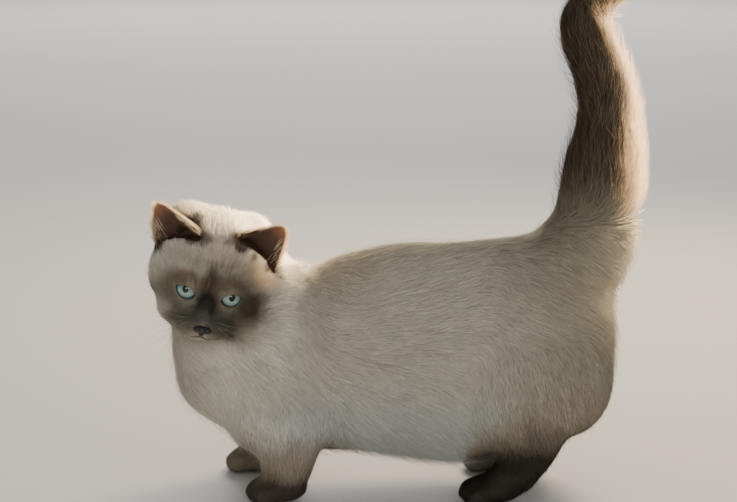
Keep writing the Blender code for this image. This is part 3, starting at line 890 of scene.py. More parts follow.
            # Painted backlight: each cup grows red-brown and lighter toward its tip.
            cup = blend(cup, self.cup_tip_backlit, own * smooth_step(0.50, 0.95, up))
        return blend(colour, cup, np.clip(1.3 * self.share[Region.EAR_CUP], 0.0, 1.0))


# The bare tip of the nose and the left eyeball's centre, in the head's frame
NOSE_AT = Vector((0.0, -0.0160, -0.0197))
EYE_AT = Vector((0.0143, 0.0085, 0.0))


@dataclass
class Ear:
    """One ear, a cupped sheet with a wall, rooted in the skull in front of a hollow."""

    side: Side
    base: Vector = field(default_factory=lambda: Vector((0.0280, 0.0290, 0.0248)))
    half_base: float = 0.0212
    half_tip: float = 0.0036
    wrap_base: float = math.radians(76.0)
    wrap_tip: float = math.radians(36.0)
    wall: float = 0.0013
    inset: float = 0.0008
    root: float = 0.30
    front: float = 0.0060

    # Tips, and the ways from the middle to the outer edge before they are squared up
    tips = {Side.LEFT: (0.0425, 0.0310, 0.0480), Side.RIGHT: (0.0462, 0.0300, 0.0475)}
    edges = {Side.LEFT: (0.0265, 0.0120, -0.0275), Side.RIGHT: (0.0265, 0.0215, -0.0275)}

    def tip(self) -> Vector:
        """The ear's tip, in the side's own frame."""
        return Vector(self.tips[self.side])

    def axes(self) -> tuple[Vector, Vector, Vector]:
        """The ear's way up, its way across and the way its cup faces."""
        along = (self.tip() - self.base).normalized()
        edge = Vector(self.edges[self.side])
        across = (edge - along * edge.dot(along)).normalized()
        return along, across, across.cross(along)

    def height(self) -> float:
        """How far the tip stands from the base."""
        return (self.tip() - self.base).length - self.inset

    def way_up(self) -> Vector:
        """The way from the ear's base to its tip, in the row frame."""
        return (self.side.frame.to_3x3() @ self.axes()[0]).normalized()

    def bend(self, v: np.ndarray) -> tuple[np.ndarray, np.ndarray]:
        """The sheet's radius and the half angle of its arc.

        Args:
            v: How far up the ear, 0 at its base and 1 at its tip.

        Returns:
            Radii and half angles.
        """
        half = self.half_tip + (self.half_base - self.half_tip) * np.clip(1.0 - v, 0, None) ** 0.85
        half = half * np.sqrt(np.clip(1.0 - (np.clip(v - 0.86, 0, None) / 0.15) ** 2, 0, None))
        wrap = self.wrap_base + (self.wrap_tip - self.wrap_base) * np.clip(v, 0.0, None)
        return (half - self.inset) / np.sin(wrap), wrap

    def beside_base(self, head: np.ndarray) -> np.ndarray:
        """Where places are from the ear's base, in the side's own frame."""
        return head * np.array((self.side.value, 1.0, 1.0)) - np.array(self.base)

    def up(self, head: np.ndarray) -> np.ndarray:
        """How far up the ear places in the head's frame are, 0 at its base and 1 at its tip."""
        return self.beside_base(head) @ np.array(self.axes()[0]) / self.height()

    def outside_cup(self, head: np.ndarray) -> np.ndarray:
        """How far places are outside the cup's hollow, less than 0 inside it.

        Args:
            head: Places in the head's frame.

        Returns:
            About the distance in metres.
        """
        along, across, facing = (np.array(axis) for axis in self.axes())
        apart = self.beside_base(head)
        v = apart @ along / self.height()
        forward = apart @ facing
        radius, wrap = self.bend(np.clip(v, -self.root, 1.0))
        from_axis = np.hypot(apart @ across, np.minimum(forward - radius * np.cos(wrap), 0.0))
        ends = np.maximum(-self.root - v, v - 1.0) * self.height()
        return np.maximum.reduce([from_axis - radius, forward - self.front, ends])

    def row(self, v: float, columns: int, wrapped: float = 1.0, closing: float = 1.0) -> list:
        """A row of places across the sheet.

        Args:
            v: How far up the ear it is.
            columns: How many steps it has.
            wrapped: How much of the sheet's arc it takes.
            closing: How much of the sheet's radius it has.

        Returns:
            Places in the row frame.
        """
        radius, wrap = (float(value) for value in self.bend(np.array(v)))
        turns = [wrapped * wrap * (2.0 * k / columns - 1.0) for k in range(columns + 1)]
        return [self.point(v, turn, radius * closing, wrap) for turn in turns]

    def point(self, v: float, turn: float, radius: float, wrap: float) -> Vector:
        """A place on the sheet.

        Args:
            v: How far up the ear it is.
            turn: How far it is turned from the sheet's middle line.
            radius: The sheet's radius there.
            wrap: The half angle of its arc there.

        Returns:
            The place in the row frame.
        """
        along, across, facing = self.axes()
        sunk = radius * (math.cos(turn) - math.cos(wrap))
        point = self.base + along * self.height() * v + across * radius * math.sin(turn)
        return self.side.frame @ (point - facing * sunk)

    def shell(self) -> bpy.types.Object:
        """Builds the ear's wall.

        Returns:
            A closed object.
        """
        rows, columns = 26, 32
        bm = bmesh.new()
        grid = []
        for i in range(rows + 1):
            v = -self.root + (1.0 + self.root) * i / rows
            grid.append([bm.verts.new(place) for place in self.row(v, columns)])
        for low, high in zip(grid, grid[1:]):
            for k in range(columns):
                bm.faces.new((low[k], low[k + 1], high[k + 1], high[k]))
        made = object_from(bm, "ear_" + self.side.word)
        wall = made.modifiers.new("Wall", "SOLIDIFY")
        wall.thickness = self.wall
        wall.offset = 0.0
        return apply_modifiers(made)

    def hollow(self) -> bpy.types.Object:
        """The room inside the cup, to cut out of the skull.

        Returns:
            A closed object to cut with.
        """
        rows, columns = 12, 16
        facing = self.side.frame.to_3x3() @ self.axes()[2]
        bm = bmesh.new()
        rings = []
        for i in range(rows + 1):
            v = -self.root + self.root * 2.6 * i / rows
            closing = math.sqrt(1.0 - (1.0 - min(1.0, (i + 0.6) / 4.0)) ** 2)
            ring = self.row(v, columns, 0.96, closing)
            ring += [ring[-1] + facing * self.front, ring[0] + facing * self.front]
            rings.append(ring)
        add_rings(bm, rings)
        return object_from(bm, "hollow")


@dataclass
class Eye:
    """One eye: the ball with its cornea, and the rim of the lids round its almond opening."""

    side: Side
    radius: float = 0.0095
    bulge: float = 0.0008
    half_width: float = 0.0076
    upper: float = 0.0046
    lower: float = 0.0054
    slant: float = math.radians(13.0)
    outward: float = math.radians(12.0)
    gaze_up: float = math.radians(13.0)
    gaze_out: float = math.radians(11.0)
    iris: float = 0.0076
    rim: float = 0.0006
    pupil: tuple = (0.0021, 0.0029)
    black: tuple = (0.004, 0.005, 0.007)
    # Painted shadow of the upper lid: the heights over which the iris darkens, and how dark its top
    # gets
    painted_lid_shadow: tuple = (-0.0022, 0.0028, 0.18)

    # The iris's colours from its middle to its edge, and those of its spokes
    ring = (
        (0.26, tuple(srgb(90, 112, 108))),
        (0.42, tuple(srgb(132, 154, 147))),
        (0.78, tuple(srgb(108, 132, 128))),
        (0.92, tuple(srgb(44, 60, 62))),
        (1.00, tuple(srgb(22, 26, 26))),
    )
    spokes = ((0.30, (0.62, 0.66, 0.70)), (0.70, (1.18, 1.16, 1.12)))

    def centre(self) -> Vector:
        """The ball's centre in the head's frame."""
        return Vector((self.side.value * EYE_AT.x, EYE_AT.y, EYE_AT.z))

    def opening(self, count: int, grow: float = 0.0) -> list:
        """The almond between the lids, as x and z in the opening's own frame.

        Args:
            count: Points on each lid.
            grow: How far the outline is moved out.

        Returns:
            The outline's points, once round.
        """
        outline = []
        for k in range(2 * count):
            x = -math.cos(math.pi * k / count)
            height = self.upper + grow if k < count else -self.lower - grow
            outline.append(((self.half_width + grow) * x, height * (1 - abs(x) ** 2.4) ** 0.75))
        return outline

    def opening_frame(self) -> Matrix:
        """The frame of the opening, at the ball's centre."""
        turn = Matrix.Rotation(self.outward, 4, "Z") @ Matrix.Rotation(-self.slant, 4, "Y")
        return self.side.frame @ Matrix.Translation(EYE_AT) @ turn

    def socket(self) -> bpy.types.Object:
        """The room for the ball and the opening in front of it.

        Returns:
            A closed object to cut with.
        """
        place = self.opening_frame()
        bm = bmesh.new()
        rings = [[place @ Vector((x, y, z)) for x, z in self.opening(20)] for y in (0.0, -0.03)]
        add_rings(bm, rings)
        prism = object_from(bm, "prism")
        bm = bmesh.new()
        bmesh.ops.create_uvsphere(
            bm, u_segments=40, v_segments=24, radius=self.radius + 0.0002, matrix=place
        )
        ball = object_from(bm, "socket")
        boolean(ball, prism, Operation.JOIN)
        return ball

    def gaze_frame(self) -> Matrix:
        """The ball's frame, -Y along its line of sight."""
        turn = Matrix.Rotation(self.gaze_out, 4, "Z") @ Matrix.Rotation(-self.gaze_up, 4, "X")
        return self.side.frame @ Matrix.Translation(EYE_AT) @ turn

    def ball(self) -> bpy.types.Object:
        """The eyeball, round with a raised cornea over the iris.

        Returns:
            The piece, dressed.
        """
        bm = bmesh.new()
        bmesh.ops.create_uvsphere(bm, u_segments=64, v_segments=48, radius=self.radius)
        for v in bm.verts:
            v.co = Vector((v.co.x, -v.co.z, v.co.y))
            off = math.hypot(v.co.x, v.co.z)
            if v.co.y < 0.0 and off < self.iris:
                v.co.y -= self.bulge * (1.0 - (off / self.iris) ** 2) ** 1.5
        bmesh.ops.transform(bm, matrix=self.gaze_frame(), verts=bm.verts)
        made = object_from(bm, "eyeball_" + self.side.word)
        finish_piece(made, self.iris_material(), "iris", "eye_" + self.side.word)
        return made

    def iris_material(self) -> bpy.types.Material:
        """Pale blue iris with fine spokes, a dark edge, an upright pupil and the upper lid's shadow
        painted over its top.

        Returns:
            The material, centred on this eye.
        """
        material = bpy.data.materials.new("iris_" + self.side.word)
        material.use_nodes = True
        tree = material.node_tree
        shader = tree.nodes["Principled BSDF"]
        gloss = {"Roughness": 0.5, "Specular IOR Level": 0.0}
        gloss.update({"Coat Weight": 0.9, "Coat Roughness": 0.01, "Coat IOR": 1.4})
        fill(tree, shader, gloss)
        place = add_node(tree, "ShaderNodeTexCoord").outputs["Object"]
        spot, turn, _ = self.unmirrored_gaze().decompose()
        inputs = {"Vector": place, "Location": spot, "Rotation": turn.to_euler("XYZ")}
        turned = add_node(tree, "ShaderNodeMapping", inputs, vector_type="TEXTURE")
        inputs = {"Vector": turned.outputs["Vector"]}
        split = add_node(tree, "ShaderNodeSeparateXYZ", inputs).outputs
        colour = self.ramp(tree, self.reach(tree, split, self.iris, self.iris), self.ring)
        flat = add_node(tree, "ShaderNodeCombineXYZ", {"X": split["X"], "Y": split["Z"]})
        inputs = {0: flat.outputs["Vector"]}
        around = add_node(tree, "ShaderNodeVectorMath", inputs, operation="NORMALIZE")
        inputs = {"Vector": around.outputs["Vector"], "Scale": 9.0, "Detail": 3.0}
        spokes = add_node(tree, "ShaderNodeTexNoise", inputs).outputs["Fac"]
        colour = multiplied(tree, colour, self.ramp(tree, spokes, self.spokes))
        # Painted shadow: the iris darkens toward its top, under the upper lid.
        low, high, shade = self.painted_lid_shadow
        inputs = {"Value": split["Z"], "From Min": low, "From Max": high}
        inputs.update({"To Min": 1.0, "To Max": shade})
        lid_shadow_level = add_node(tree, "ShaderNodeMapRange", inputs).outputs["Result"]
        colour = multiplied(tree, colour, lid_shadow_level)
        away = self.reach(tree, split, *self.pupil)
        outside = self.ramp(tree, away, ((0.90, (1.0,) * 3), (1.00, (0.0,) * 3)))
        inputs = {"Factor": outside, "A": colour, "B": (*self.black, 1.0)}
        dark = add_node(tree, "ShaderNodeMix", inputs, data_type="RGBA")
        fill(tree, shader, {"Base Color": dark.outputs["Result"]})
        return material

    @staticmethod
    def reach(
        tree: bpy.types.NodeTree, place: dict, half_width: float, half_height: float
    ) -> bpy.types.NodeSocket:
        """Distance from the line of sight, 1 on an ellipse.

        Args:
            tree: The material's nodes.
            place: The sockets of the place's X and Z.
            half_width: Half the ellipse's width.
            half_height: Half its height.

        Returns:
            The distance's socket.
        """
        scaled = {}
        for socket, axis, half in (("X", "X", half_width), ("Y", "Z", half_height)):
            inputs = {0: place[axis], 1: half}
            node = add_node(tree, "ShaderNodeMath", inputs, operation="DIVIDE")
            scaled[socket] = node.outputs["Value"]
        joined = add_node(tree, "ShaderNodeCombineXYZ", scaled).outputs["Vector"]
        length = add_node(tree, "ShaderNodeVectorMath", {0: joined}, operation="LENGTH")
        return length.outputs["Value"]

    @staticmethod
    def ramp(
        tree: bpy.types.NodeTree, value: bpy.types.NodeSocket, stops: tuple
    ) -> bpy.types.NodeSocket:
        """Colours at stops along a value.

        Args:
            tree: The material's nodes.
            value: The value's socket.
            stops: Where each stop is, and its colour.

        Returns:
            The colour's socket.
        """
        made = add_node(tree, "ShaderNodeValToRGB", {"Fac": value})
        while len(made.color_ramp.elements) < len(stops):
            made.color_ramp.elements.new(1.0)
        for element, (at, colour) in zip(made.color_ramp.elements, stops):
            element.position = at
            element.color = (*colour, 1.0)
        return made.outputs["Color"]

    def unmirrored_gaze(self) -> Matrix:
        """The ball's frame as a plain turn, for a pattern that may be mirrored."""
        return self.gaze_frame() @ Matrix.Diagonal((self.side.value, 1.0, 1.0, 1.0))

    def rim_line(self, count: int = 22) -> list:
        """The lids' edge as points in the row frame, once round and closed."""
        place = self.opening_frame()
        out = self.radius + 0.0007
        points = []
        for x, z in self.opening(count, 0.0002):
            depth = math.sqrt(max(out**2 - x * x - z * z, 1e-9))
            points.append(place @ Vector((x, -depth, z)))
        return points


@dataclass
class StrandTree:
    """Geometry Nodes that turn polylines into round, tapered strands."""

    name: str = "strands"
    sides: int = 6

    def build(self) -> bpy.types.NodeTree:
        """Builds the tree.

        Returns:
            The tree, with its named inputs.
        """
        tree = bpy.data.node_groups.new(self.name, "GeometryNodeTree")
        sockets = (
            ("Geometry", "INPUT", "Geometry", None),
            ("Root radius", "INPUT", "Float", 0.0002),
            ("Tip radius", "INPUT", "Float", 0.00005),
            ("Sides", "INPUT", "Int", self.sides),
            ("Material", "INPUT", "Material", None),
            ("Geometry", "OUTPUT", "Geometry", None),
        )
        for label, way, kind, value in sockets:
            socket = tree.interface.new_socket(label, in_out=way, socket_type="NodeSocket" + kind)
            if value is not None:
                socket.default_value = value
        given = add_node(tree, "NodeGroupInput").outputs
        curve = add_node(tree, "GeometryNodeMeshToCurve", {"Mesh": given["Geometry"]})
        along = add_node(tree, "GeometryNodeSplineParameter").outputs["Factor"]
        inputs = {"Value": along, "To Min": given["Root radius"], "To Max": given["Tip radius"]}
        taper = add_node(tree, "ShaderNodeMapRange", inputs)
        inputs = {"Resolution": given["Sides"], "Radius": 1.0}
        ring = add_node(tree, "GeometryNodeCurvePrimitiveCircle", inputs)
        inputs = {"Curve": curve.outputs["Curve"], "Profile Curve": ring.outputs["Curve"]}
        inputs.update({"Scale": taper.outputs["Result"], "Fill Caps": True})
        sweep = add_node(tree, "GeometryNodeCurveToMesh", inputs)
        inputs = {"Geometry": sweep.outputs["Mesh"]}
        real = add_node(tree, "GeometryNodeRealizeInstances", inputs)
        inputs = {"Geometry": real.outputs["Geometry"], "Material": given["Material"]}
        paint = add_node(tree, "GeometryNodeSetMaterial", inputs)
        add_node(tree, "NodeGroupOutput", {"Geometry": paint.outputs["Geometry"]})
        return tree

    def strands(
        self,
        name: str,
        lines: list,
        root: float,
        tip: float,
        finish: Finish,
        closed: bool = False,
    ) -> bpy.types.Object:
        """Sweeps lines into strands.

        Args:
            name: The piece's name.
            lines: Each line's points, from its root.
            root: Radius at the root.
            tip: Radius at the tip.
            finish: What the strands are made of.
            closed: True where each line runs back into itself.

        Returns:
            The piece, as a plain mesh.
        """
        mesh = bpy.data.meshes.new(name)
        points, edges = [], []
        for line in lines:
            first = len(points)
            points += [tuple(p) for p in line]
            edges += [(i, i + 1) for i in range(first, len(points) - 1)]
            if closed:
                edges.append((len(points) - 1, first))
        mesh.from_pydata(points, edges, [])
        piece = new_object(name, mesh)
        tree = bpy.data.node_groups.get(self.name) or self.build()
        modifier = piece.modifiers.new("Strands", "NODES")
        modifier.node_group = tree
        material = bpy.data.materials.get(finish.name) or finish.make()
        sizes = {"Root radius": root, "Tip radius": tip, "Sides": self.sides}
        for item in tree.interface.items_tree:
            if item.in_out == "INPUT" and item.name in sizes:
                modifier[item.identifier] = sizes[item.name]
            elif item.in_out == "INPUT" and item.name == "Material":
                modifier[item.identifier] = material
        apply_modifiers(piece)
        finish_piece(piece, material, "coat_point")
        return piece


@dataclass
class Skin:
    """One closed skin for the whole cat, inside the solids by the coat's depth."""

    voxel: float = 0.0018
    swell: float = 0.0004
    softening: int = 6

    def build(self) -> bpy.types.Object:
        """Makes the skin, with the eyes' openings and the ears.

        Returns:
            The piece, with its unwrap.
        """
        skin = self.melted()
        self.draw_in(skin)
        for side in Side:
            boolean(skin, Eye(side).socket(), Operation.CUT)
            boolean(skin, Ear(side).hollow(), Operation.CUT)
            boolean(skin, Ear(side).shell(), Operation.JOIN)
        self.unwrap(skin)
        return skin

    def melted(self) -> bpy.types.Object:
        """Melts copies of the flesh and the eyeballs into one closed surface.

        Returns:
            The surface, as far out as the coat's tips.
        """
        bm = bmesh.new()
        for name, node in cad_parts.items():
            if not name.startswith(("ear", "nose")):
                bm.from_mesh(node.data)
        bmesh.ops.remove_doubles(bm, verts=bm.verts, dist=1e-5)
        bmesh.ops.recalc_face_normals(bm, faces=bm.faces)
        skin = object_from(bm, "skin")
        swell = skin.modifiers.new("Swell", "DISPLACE")
        swell.mid_level = 0.0
        swell.strength = self.swell
        melt = skin.modifiers.new("Melt", "REMESH")
        melt.mode = "VOXEL"
        melt.voxel_size = self.voxel
        soften(skin, self.softening)
        return apply_modifiers(skin)

    def draw_in(self, skin: bpy.types.Object) -> None:
        """Moves the skin in by the coat's depth at each place.

        Args:
            skin: The surface at the coat's tips.
        """
        surface = Surface.of(skin)
        depth = CoatMap(surface).size[:, 1:2] / 1000.0
        normals = unit(surface.diffused(surface.normals, 4))
        moved = surface.points - normals * depth
        skin.data.vertices.foreach_set("co", moved.ravel())
        skin.data.update()
        soften(skin, 3)
        apply_modifiers(skin)

    @staticmethod
    def unwrap(skin: bpy.types.Object) -> None:
        """Lays the skin flat, piece by piece.

        Args:
            skin: The finished skin.
        """
        bpy.context.view_layer.objects.active = skin
        skin.select_set(True)
        skin.data.uv_layers.new(name=UNWRAP)
        bpy.ops.object.mode_set(mode="EDIT")
        bpy.ops.mesh.select_all(action="SELECT")
        bpy.ops.uv.smart_project(angle_limit=math.radians(66.0), island_margin=0.002)
        bpy.ops.object.mode_set(mode="OBJECT")
        skin.select_set(False)

    @staticmethod
    def paint(skin: bpy.types.Object, coat_map: CoatMap) -> None:
        """Gives the skin the coat's markings, darker, and sets it on the frame.

        Args:
            skin: The finished skin.
            coat_map: The coat's map on it.
        """
        mesh = skin.data
        colours = np.ones((len(mesh.vertices), 4))
        markings = Markings(coat_map.surface.points, coat_map.head, coat_map.share)
        colours[:, :3] = markings.colours() * 0.85
        layer = mesh.color_attributes.new(COAT, "FLOAT_COLOR", "POINT")
        layer.data.foreach_set("color", colours.ravel())
        flesh = [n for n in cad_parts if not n.startswith(("eye", "nose"))]
        finish_piece(skin, SKIN_FINISH.make(), "coat_body", *flesh)


@dataclass
class Coat:
    """The coat: solid tufts rooted in the skin, laid along its lie."""

    surface: Surface
    coat_map: CoatMap
    seed: int = 11
    most: int = 190000
    lowest: float = 0.0006
    bare_nose: float = 0.0050
    sunk: float = 0.0004
    guard_share: float = 0.05
    guard_size: tuple = (1.30, 1.8, 0.5)

    def roots(self) -> dict:
        """Spreads the roots over the skin.

        Returns:
            For each root its place, normal, lie, sizes, colour, place on the unwrap and regions.
        """
        rng = np.random.default_rng(self.seed)
        surface, faces = self.surface, self.surface.faces
        weight = surface.areas() * 1e4 * self.coat_map.size[faces, 3].mean(axis=1)
        weight[self.bare(surface.points[faces].mean(axis=1))] = 0.0
        total = np.cumsum(weight)
        count = int(total[-1])
        picked = np.searchsorted(total, (np.arange(count) + rng.random(count)) * total[-1] / count)
        picked = np.minimum(picked, len(faces) - 1)
        a, b = rng.random(count), rng.random(count)
        over = a + b > 1.0
        a[over], b[over] = 1.0 - a[over], 1.0 - b[over]
        part = np.stack([1.0 - a - b, a, b], axis=1)
        corners = faces[picked]

        def at(values: np.ndarray) -> np.ndarray:
            """Values of the points, read at the roots."""
            return (values[corners] * part[..., None]).sum(axis=1)

        place = at(surface.points)
        shares = at(np.stack(list(self.coat_map.share.values()), axis=1))
        by_region = {region: shares[:, k] for k, region in enumerate(Region)}
        return {
            "place": place,
            "normal": unit(at(surface.normals)),
            "lie": unit(at(self.coat_map.lie)),
            "size": at(self.coat_map.size),
            "colour": Markings(place, in_head(place), by_region).colours(),
            "flat": (surface.flat[picked] * part[..., None]).sum(axis=1),
            "share": shares,
        }

    @staticmethod
    def bare(points: np.ndarray) -> np.ndarray:
        """Where no hair grows: in the eye sockets, on their rims and on the nose.

        Args:
            points: Places in the row frame.

        Returns:
            True for each bare place.
        """
        head = in_head(points)
        none = away_from(head, NOSE_AT) < Coat.bare_nose
        for side in Side:
            eye = Eye(side)
            none |= away_from(head, eye.centre()) < eye.radius + 0.0006
            inverse = np.array(eye.opening_frame().inverted())
            x, y, z = (points @ inverse[:3, :3].T + inverse[:3, 3]).T
            high = np.where(z > 0, eye.upper, eye.lower) + 0.0006
            almond = (np.abs(x) / (eye.half_width + 0.0008)) ** 2.0 + (z / high) ** 2.0
            none |= (almond < 1.0) & (y < 0.0)
        return none

    def grow(self) -> list:
        """Grows every tuft.

        Returns:
            The coat's pieces, each under the limit of triangles.
        """
        roots = self.roots()
        rng = np.random.default_rng(self.seed + 1)
        count = len(roots["place"])
        place, normal, lie = roots["place"], roots["normal"], roots["lie"]
        size = roots["size"] / 1000.0
        lie = lie + 0.12 * vector_noise(place, 0.030, 40) + 0.16 * vector_noise(place, 0.007, 50)
        lie = laid(lie + 0.09 * rng.standard_normal((count, 3)), normal)
        length = size[:, 0] * (0.75 + 0.38 * rng.random(count))
        height = size[:, 1] * (0.50 + 0.50 * rng.random(count))
        width = size[:, 2] * (0.75 + 0.5 * rng.random(count))
        on = {region: roots["share"][:, region.number] for region in Region}
        hanging = on[Region.TRUNK] * smooth_step(-0.1, -0.8, normal[:, 2])
        behind = on[Region.TAIL] * smooth_step(0.0, 0.8, normal[:, 1])
        crown = on[Region.CROWN] * smooth_step(0.2, 0.8, normal[:, 2])
        rump = on[Region.RUMP] * smooth_step(0.2, 0.8, normal[:, 1])
        share = self.guard_share + 0.08 * on[Region.TAIL] + 0.14 * behind + 0.15 * hanging
        share = share + 0.15 * crown + 0.10 * rump
        guard = rng.random(count) < share
        for values, factor in zip((length, height, width), self.guard_size):
            values[guard] *= factor
        # Painted backlight: guard hairs on the tail, most of all on its back side, take the backlit
        # gold.
        golden = guard * (0.10 * on[Region.TAIL] + 0.60 * behind)
        roots["colour"] = blend(roots["colour"], Markings.tail_backlit_gold, golden)
        tree = BVHTree.FromPolygons(self.surface.points.tolist(), self.surface.faces.tolist())
        run = np.sqrt(np.maximum(length**2 - height**2, (0.3 * length) ** 2))[:, None]
        mid, mid_normal = self.draped(tree, place + lie * 0.45 * run)
        mid = mid + mid_normal * (0.72 * height)[:, None]
        tip, tip_normal = self.draped(tree, place + lie * run)
        tip = tip + tip_normal * height[:, None]
        for points in (mid, tip):
            points[:, 2] = np.maximum(points[:, 2], self.lowest)
        root = place - normal * self.sunk
        tufts = Tufts(root, mid, tip, normal, width, roots, rng)
        return tufts.pieces(self.most)

    def draped(self, tree: BVHTree, places: np.ndarray) -> tuple[np.ndarray, np.ndarray]:
        """The nearest places on the skin and the skin's normals there.

        Args:
            tree: The skin, to search.
            places: Places near the skin.

        Returns:
            The places and the normals.
        """
        found = [tree.find_nearest(p)[::2] for p in places]
        spots = np.array([tuple(spot) for spot, _ in found])
        faces = np.array([face for _, face in found])
        return spots, unit(self.surface.normals[self.surface.faces[faces]].mean(axis=1))


@dataclass(frozen=True)
class TuftShape:
    """The corners and faces of a kind of tuft, and what each corner does: its painted shade and its
    place on the unwrap patch.
    """

    faces: tuple
    painted_shades: tuple
    patch: tuple


# Long hair swells to a ring of three and tapers to its tip. Short hair is a slim pyramid. Both are
# painted darker at the root, where the coat shades itself, lighter on the top side and lightest at
# the tip.
BENT = TuftShape(
    faces=((0, 1, 2), (0, 2, 3), (0, 3, 1), (2, 1, 4), (3, 2, 4), (1, 3, 4)),
    painted_shades=(0.72, 0.93, 0.98, 0.93, 1.13),
    patch=((0.5, 0.0), (0.0, 0.5), (0.5, 0.5), (1.0, 0.5), (0.5, 1.0)),
)
STRAIGHT = TuftShape(
    faces=((0, 1, 2), (1, 0, 3), (2, 1, 3), (0, 2, 3)),
    painted_shades=(0.84, 0.88, 0.84, 1.12),
    patch=((0.0, 0.0), (0.5, 0.0), (1.0, 0.0), (0.5, 1.0)),
)


@dataclass
class Tufts:
    """Tapered three-sided tufts, long ones bent on their way."""

    root: np.ndarray
    mid: np.ndarray
    tip: np.ndarray
    normal: np.ndarray
    width: np.ndarray
    roots: dict
    rng: np.random.Generator

    patch = 0.003
    roundness = 0.65
    straight_groups = ("face", "feet")
    body_groups = ("head", "neck", "chest", "trunk", "rump")

    def shape(self, group: str) -> TuftShape:
        """The kind of tuft that a group of them has."""
        return STRAIGHT if group.split("_")[0] in self.straight_groups else BENT

    def corners(self, shape: TuftShape, part: np.ndarray) -> tuple[np.ndarray, np.ndarray]:
        """The corners of some tufts, and the soft normals that make them one coat.

        Args:
            shape: Their kind.
            part: Their numbers.

        Returns:
            Places and normals, each an array of tufts by corners by 3.
        """
        root, mid, tip = self.root[part], self.mid[part], self.tip[part]
        out = self.normal[part]
        toward = tip if shape is STRAIGHT else mid
        along = unit(toward - root)
        across = unit(np.cross(along, out))
        up = np.cross(across, along)
        half = (0.5 * self.width[part])[:, None]
        wide = root if shape is STRAIGHT else mid
        ways = (across, 0.7 * up, -across)
        ring = [wide + half * way for way in ways]
        first = [] if shape is STRAIGHT else [root]
        places = np.stack([*first, *ring, tip], axis=1)
        soft = [unit(out + self.roundness * way) for way in ways]
        normals = np.stack([*(out for _ in first), *soft, out], axis=1)
        return places, normals

    def tints(self) -> np.ndarray:
        """Each tuft's own colour, a little off that of its place.

        Returns:
            Linear colours, one a tuft.
        """
        base = self.roots["colour"]
        count = len(base)
        level = np.exp(0.13 * self.rng.standard_normal(count))
        level *= 1.0 + 0.05 * lattice_noise(self.root, 0.008, 60)
        level *= 1.0 + 0.14 * lattice_noise(self.root, 0.0017, 61)
        warm = 0.02 * self.rng.standard_normal(count)
        tint = np.stack([1.0 + warm, np.ones(count), 1.0 - warm], axis=1)
        return np.clip(base * level[:, None] * tint, 0.0, 0.95)

    def pieces(self, most: int) -> list:
        """Splits the tufts by region and size, and makes a mesh of each part.

        Args:
            most: The most triangles in one piece.

        Returns:
            The pieces, dressed.
        """
        tints = self.tints()
        group = self.groups()
        made = []
        material = COAT_FINISH.make()
        for name in sorted(set(group)):
            shape = self.shape(name)
            members = np.flatnonzero(group == name)
            members = members[np.argsort(self.root[members, 1], kind="stable")]
            parts = math.ceil(len(members) * len(shape.faces) / most)
            for number, part in enumerate(np.array_split(members, parts)):
                label = f"coat_{name}" + (f"_{number + 1}" if parts > 1 else "")
                piece = self.mesh(label, shape, part, tints[part])
                slot = "coat_body" if name in self.body_groups else "coat_point"
                finish_piece(piece, material, slot)
                made.append(piece)
        return made

    def groups(self) -> np.ndarray:
        """The name of the piece that each tuft belongs to."""
        names = np.array([region.value.piece for region in Region])
        return names[self.roots["share"].argmax(axis=1)]

    def mesh(
        self, name: str, shape: TuftShape, part: np.ndarray, tints: np.ndarray
    ) -> bpy.types.Object:
        """A mesh of some tufts.

        Args:
            name: The piece's name.
            shape: The kind of tuft.
            part: The tufts' numbers.
            tints: Their colours.

        Returns:
            The new object.
        """
        count, size = len(part), len(shape.painted_shades)
        places, normals = self.corners(shape, part)
        colours = np.ones((count, size, 4))
        # Painted shade: each corner's colour is scaled darker at the root and lighter at the tip.
        painted_shading = tints[:, None, :] * np.array(shape.painted_shades)[None, :, None]
        colours[:, :, :3] = np.clip(painted_shading, 0.0, 0.95)
        flat = self.roots["flat"][part][:, None, :] + self.patch * (np.array(shape.patch) - 0.5)
        flat = np.clip(flat, 0.0, 1.0)
        first = (np.arange(count) * size)[:, None, None]
        ends = (first + np.array(shape.faces)[None]).reshape(-1)
        mesh = bpy.data.meshes.new(name)
        mesh.vertices.add(count * size)
        mesh.vertices.foreach_set("co", places.ravel())
        mesh.loops.add(len(ends))
        mesh.loops.foreach_set("vertex_index", ends)
        mesh.polygons.add(len(ends) // 3)
        mesh.polygons.foreach_set("loop_start", np.arange(0, len(ends), 3))
        mesh.update(calc_edges=True)
        mesh.shade_smooth()
        mesh.normals_split_custom_set_from_vertices(normals.reshape(-1, 3))
        layer = mesh.color_attributes.new(COAT, "FLOAT_COLOR", "POINT")
        layer.data.foreach_set("color", colours.ravel())
        unwrap = mesh.uv_layers.new(name=UNWRAP)
        unwrap.data.foreach_set("uv", flat.reshape(-1, 2)[ends].ravel())
        return new_object(name, mesh)


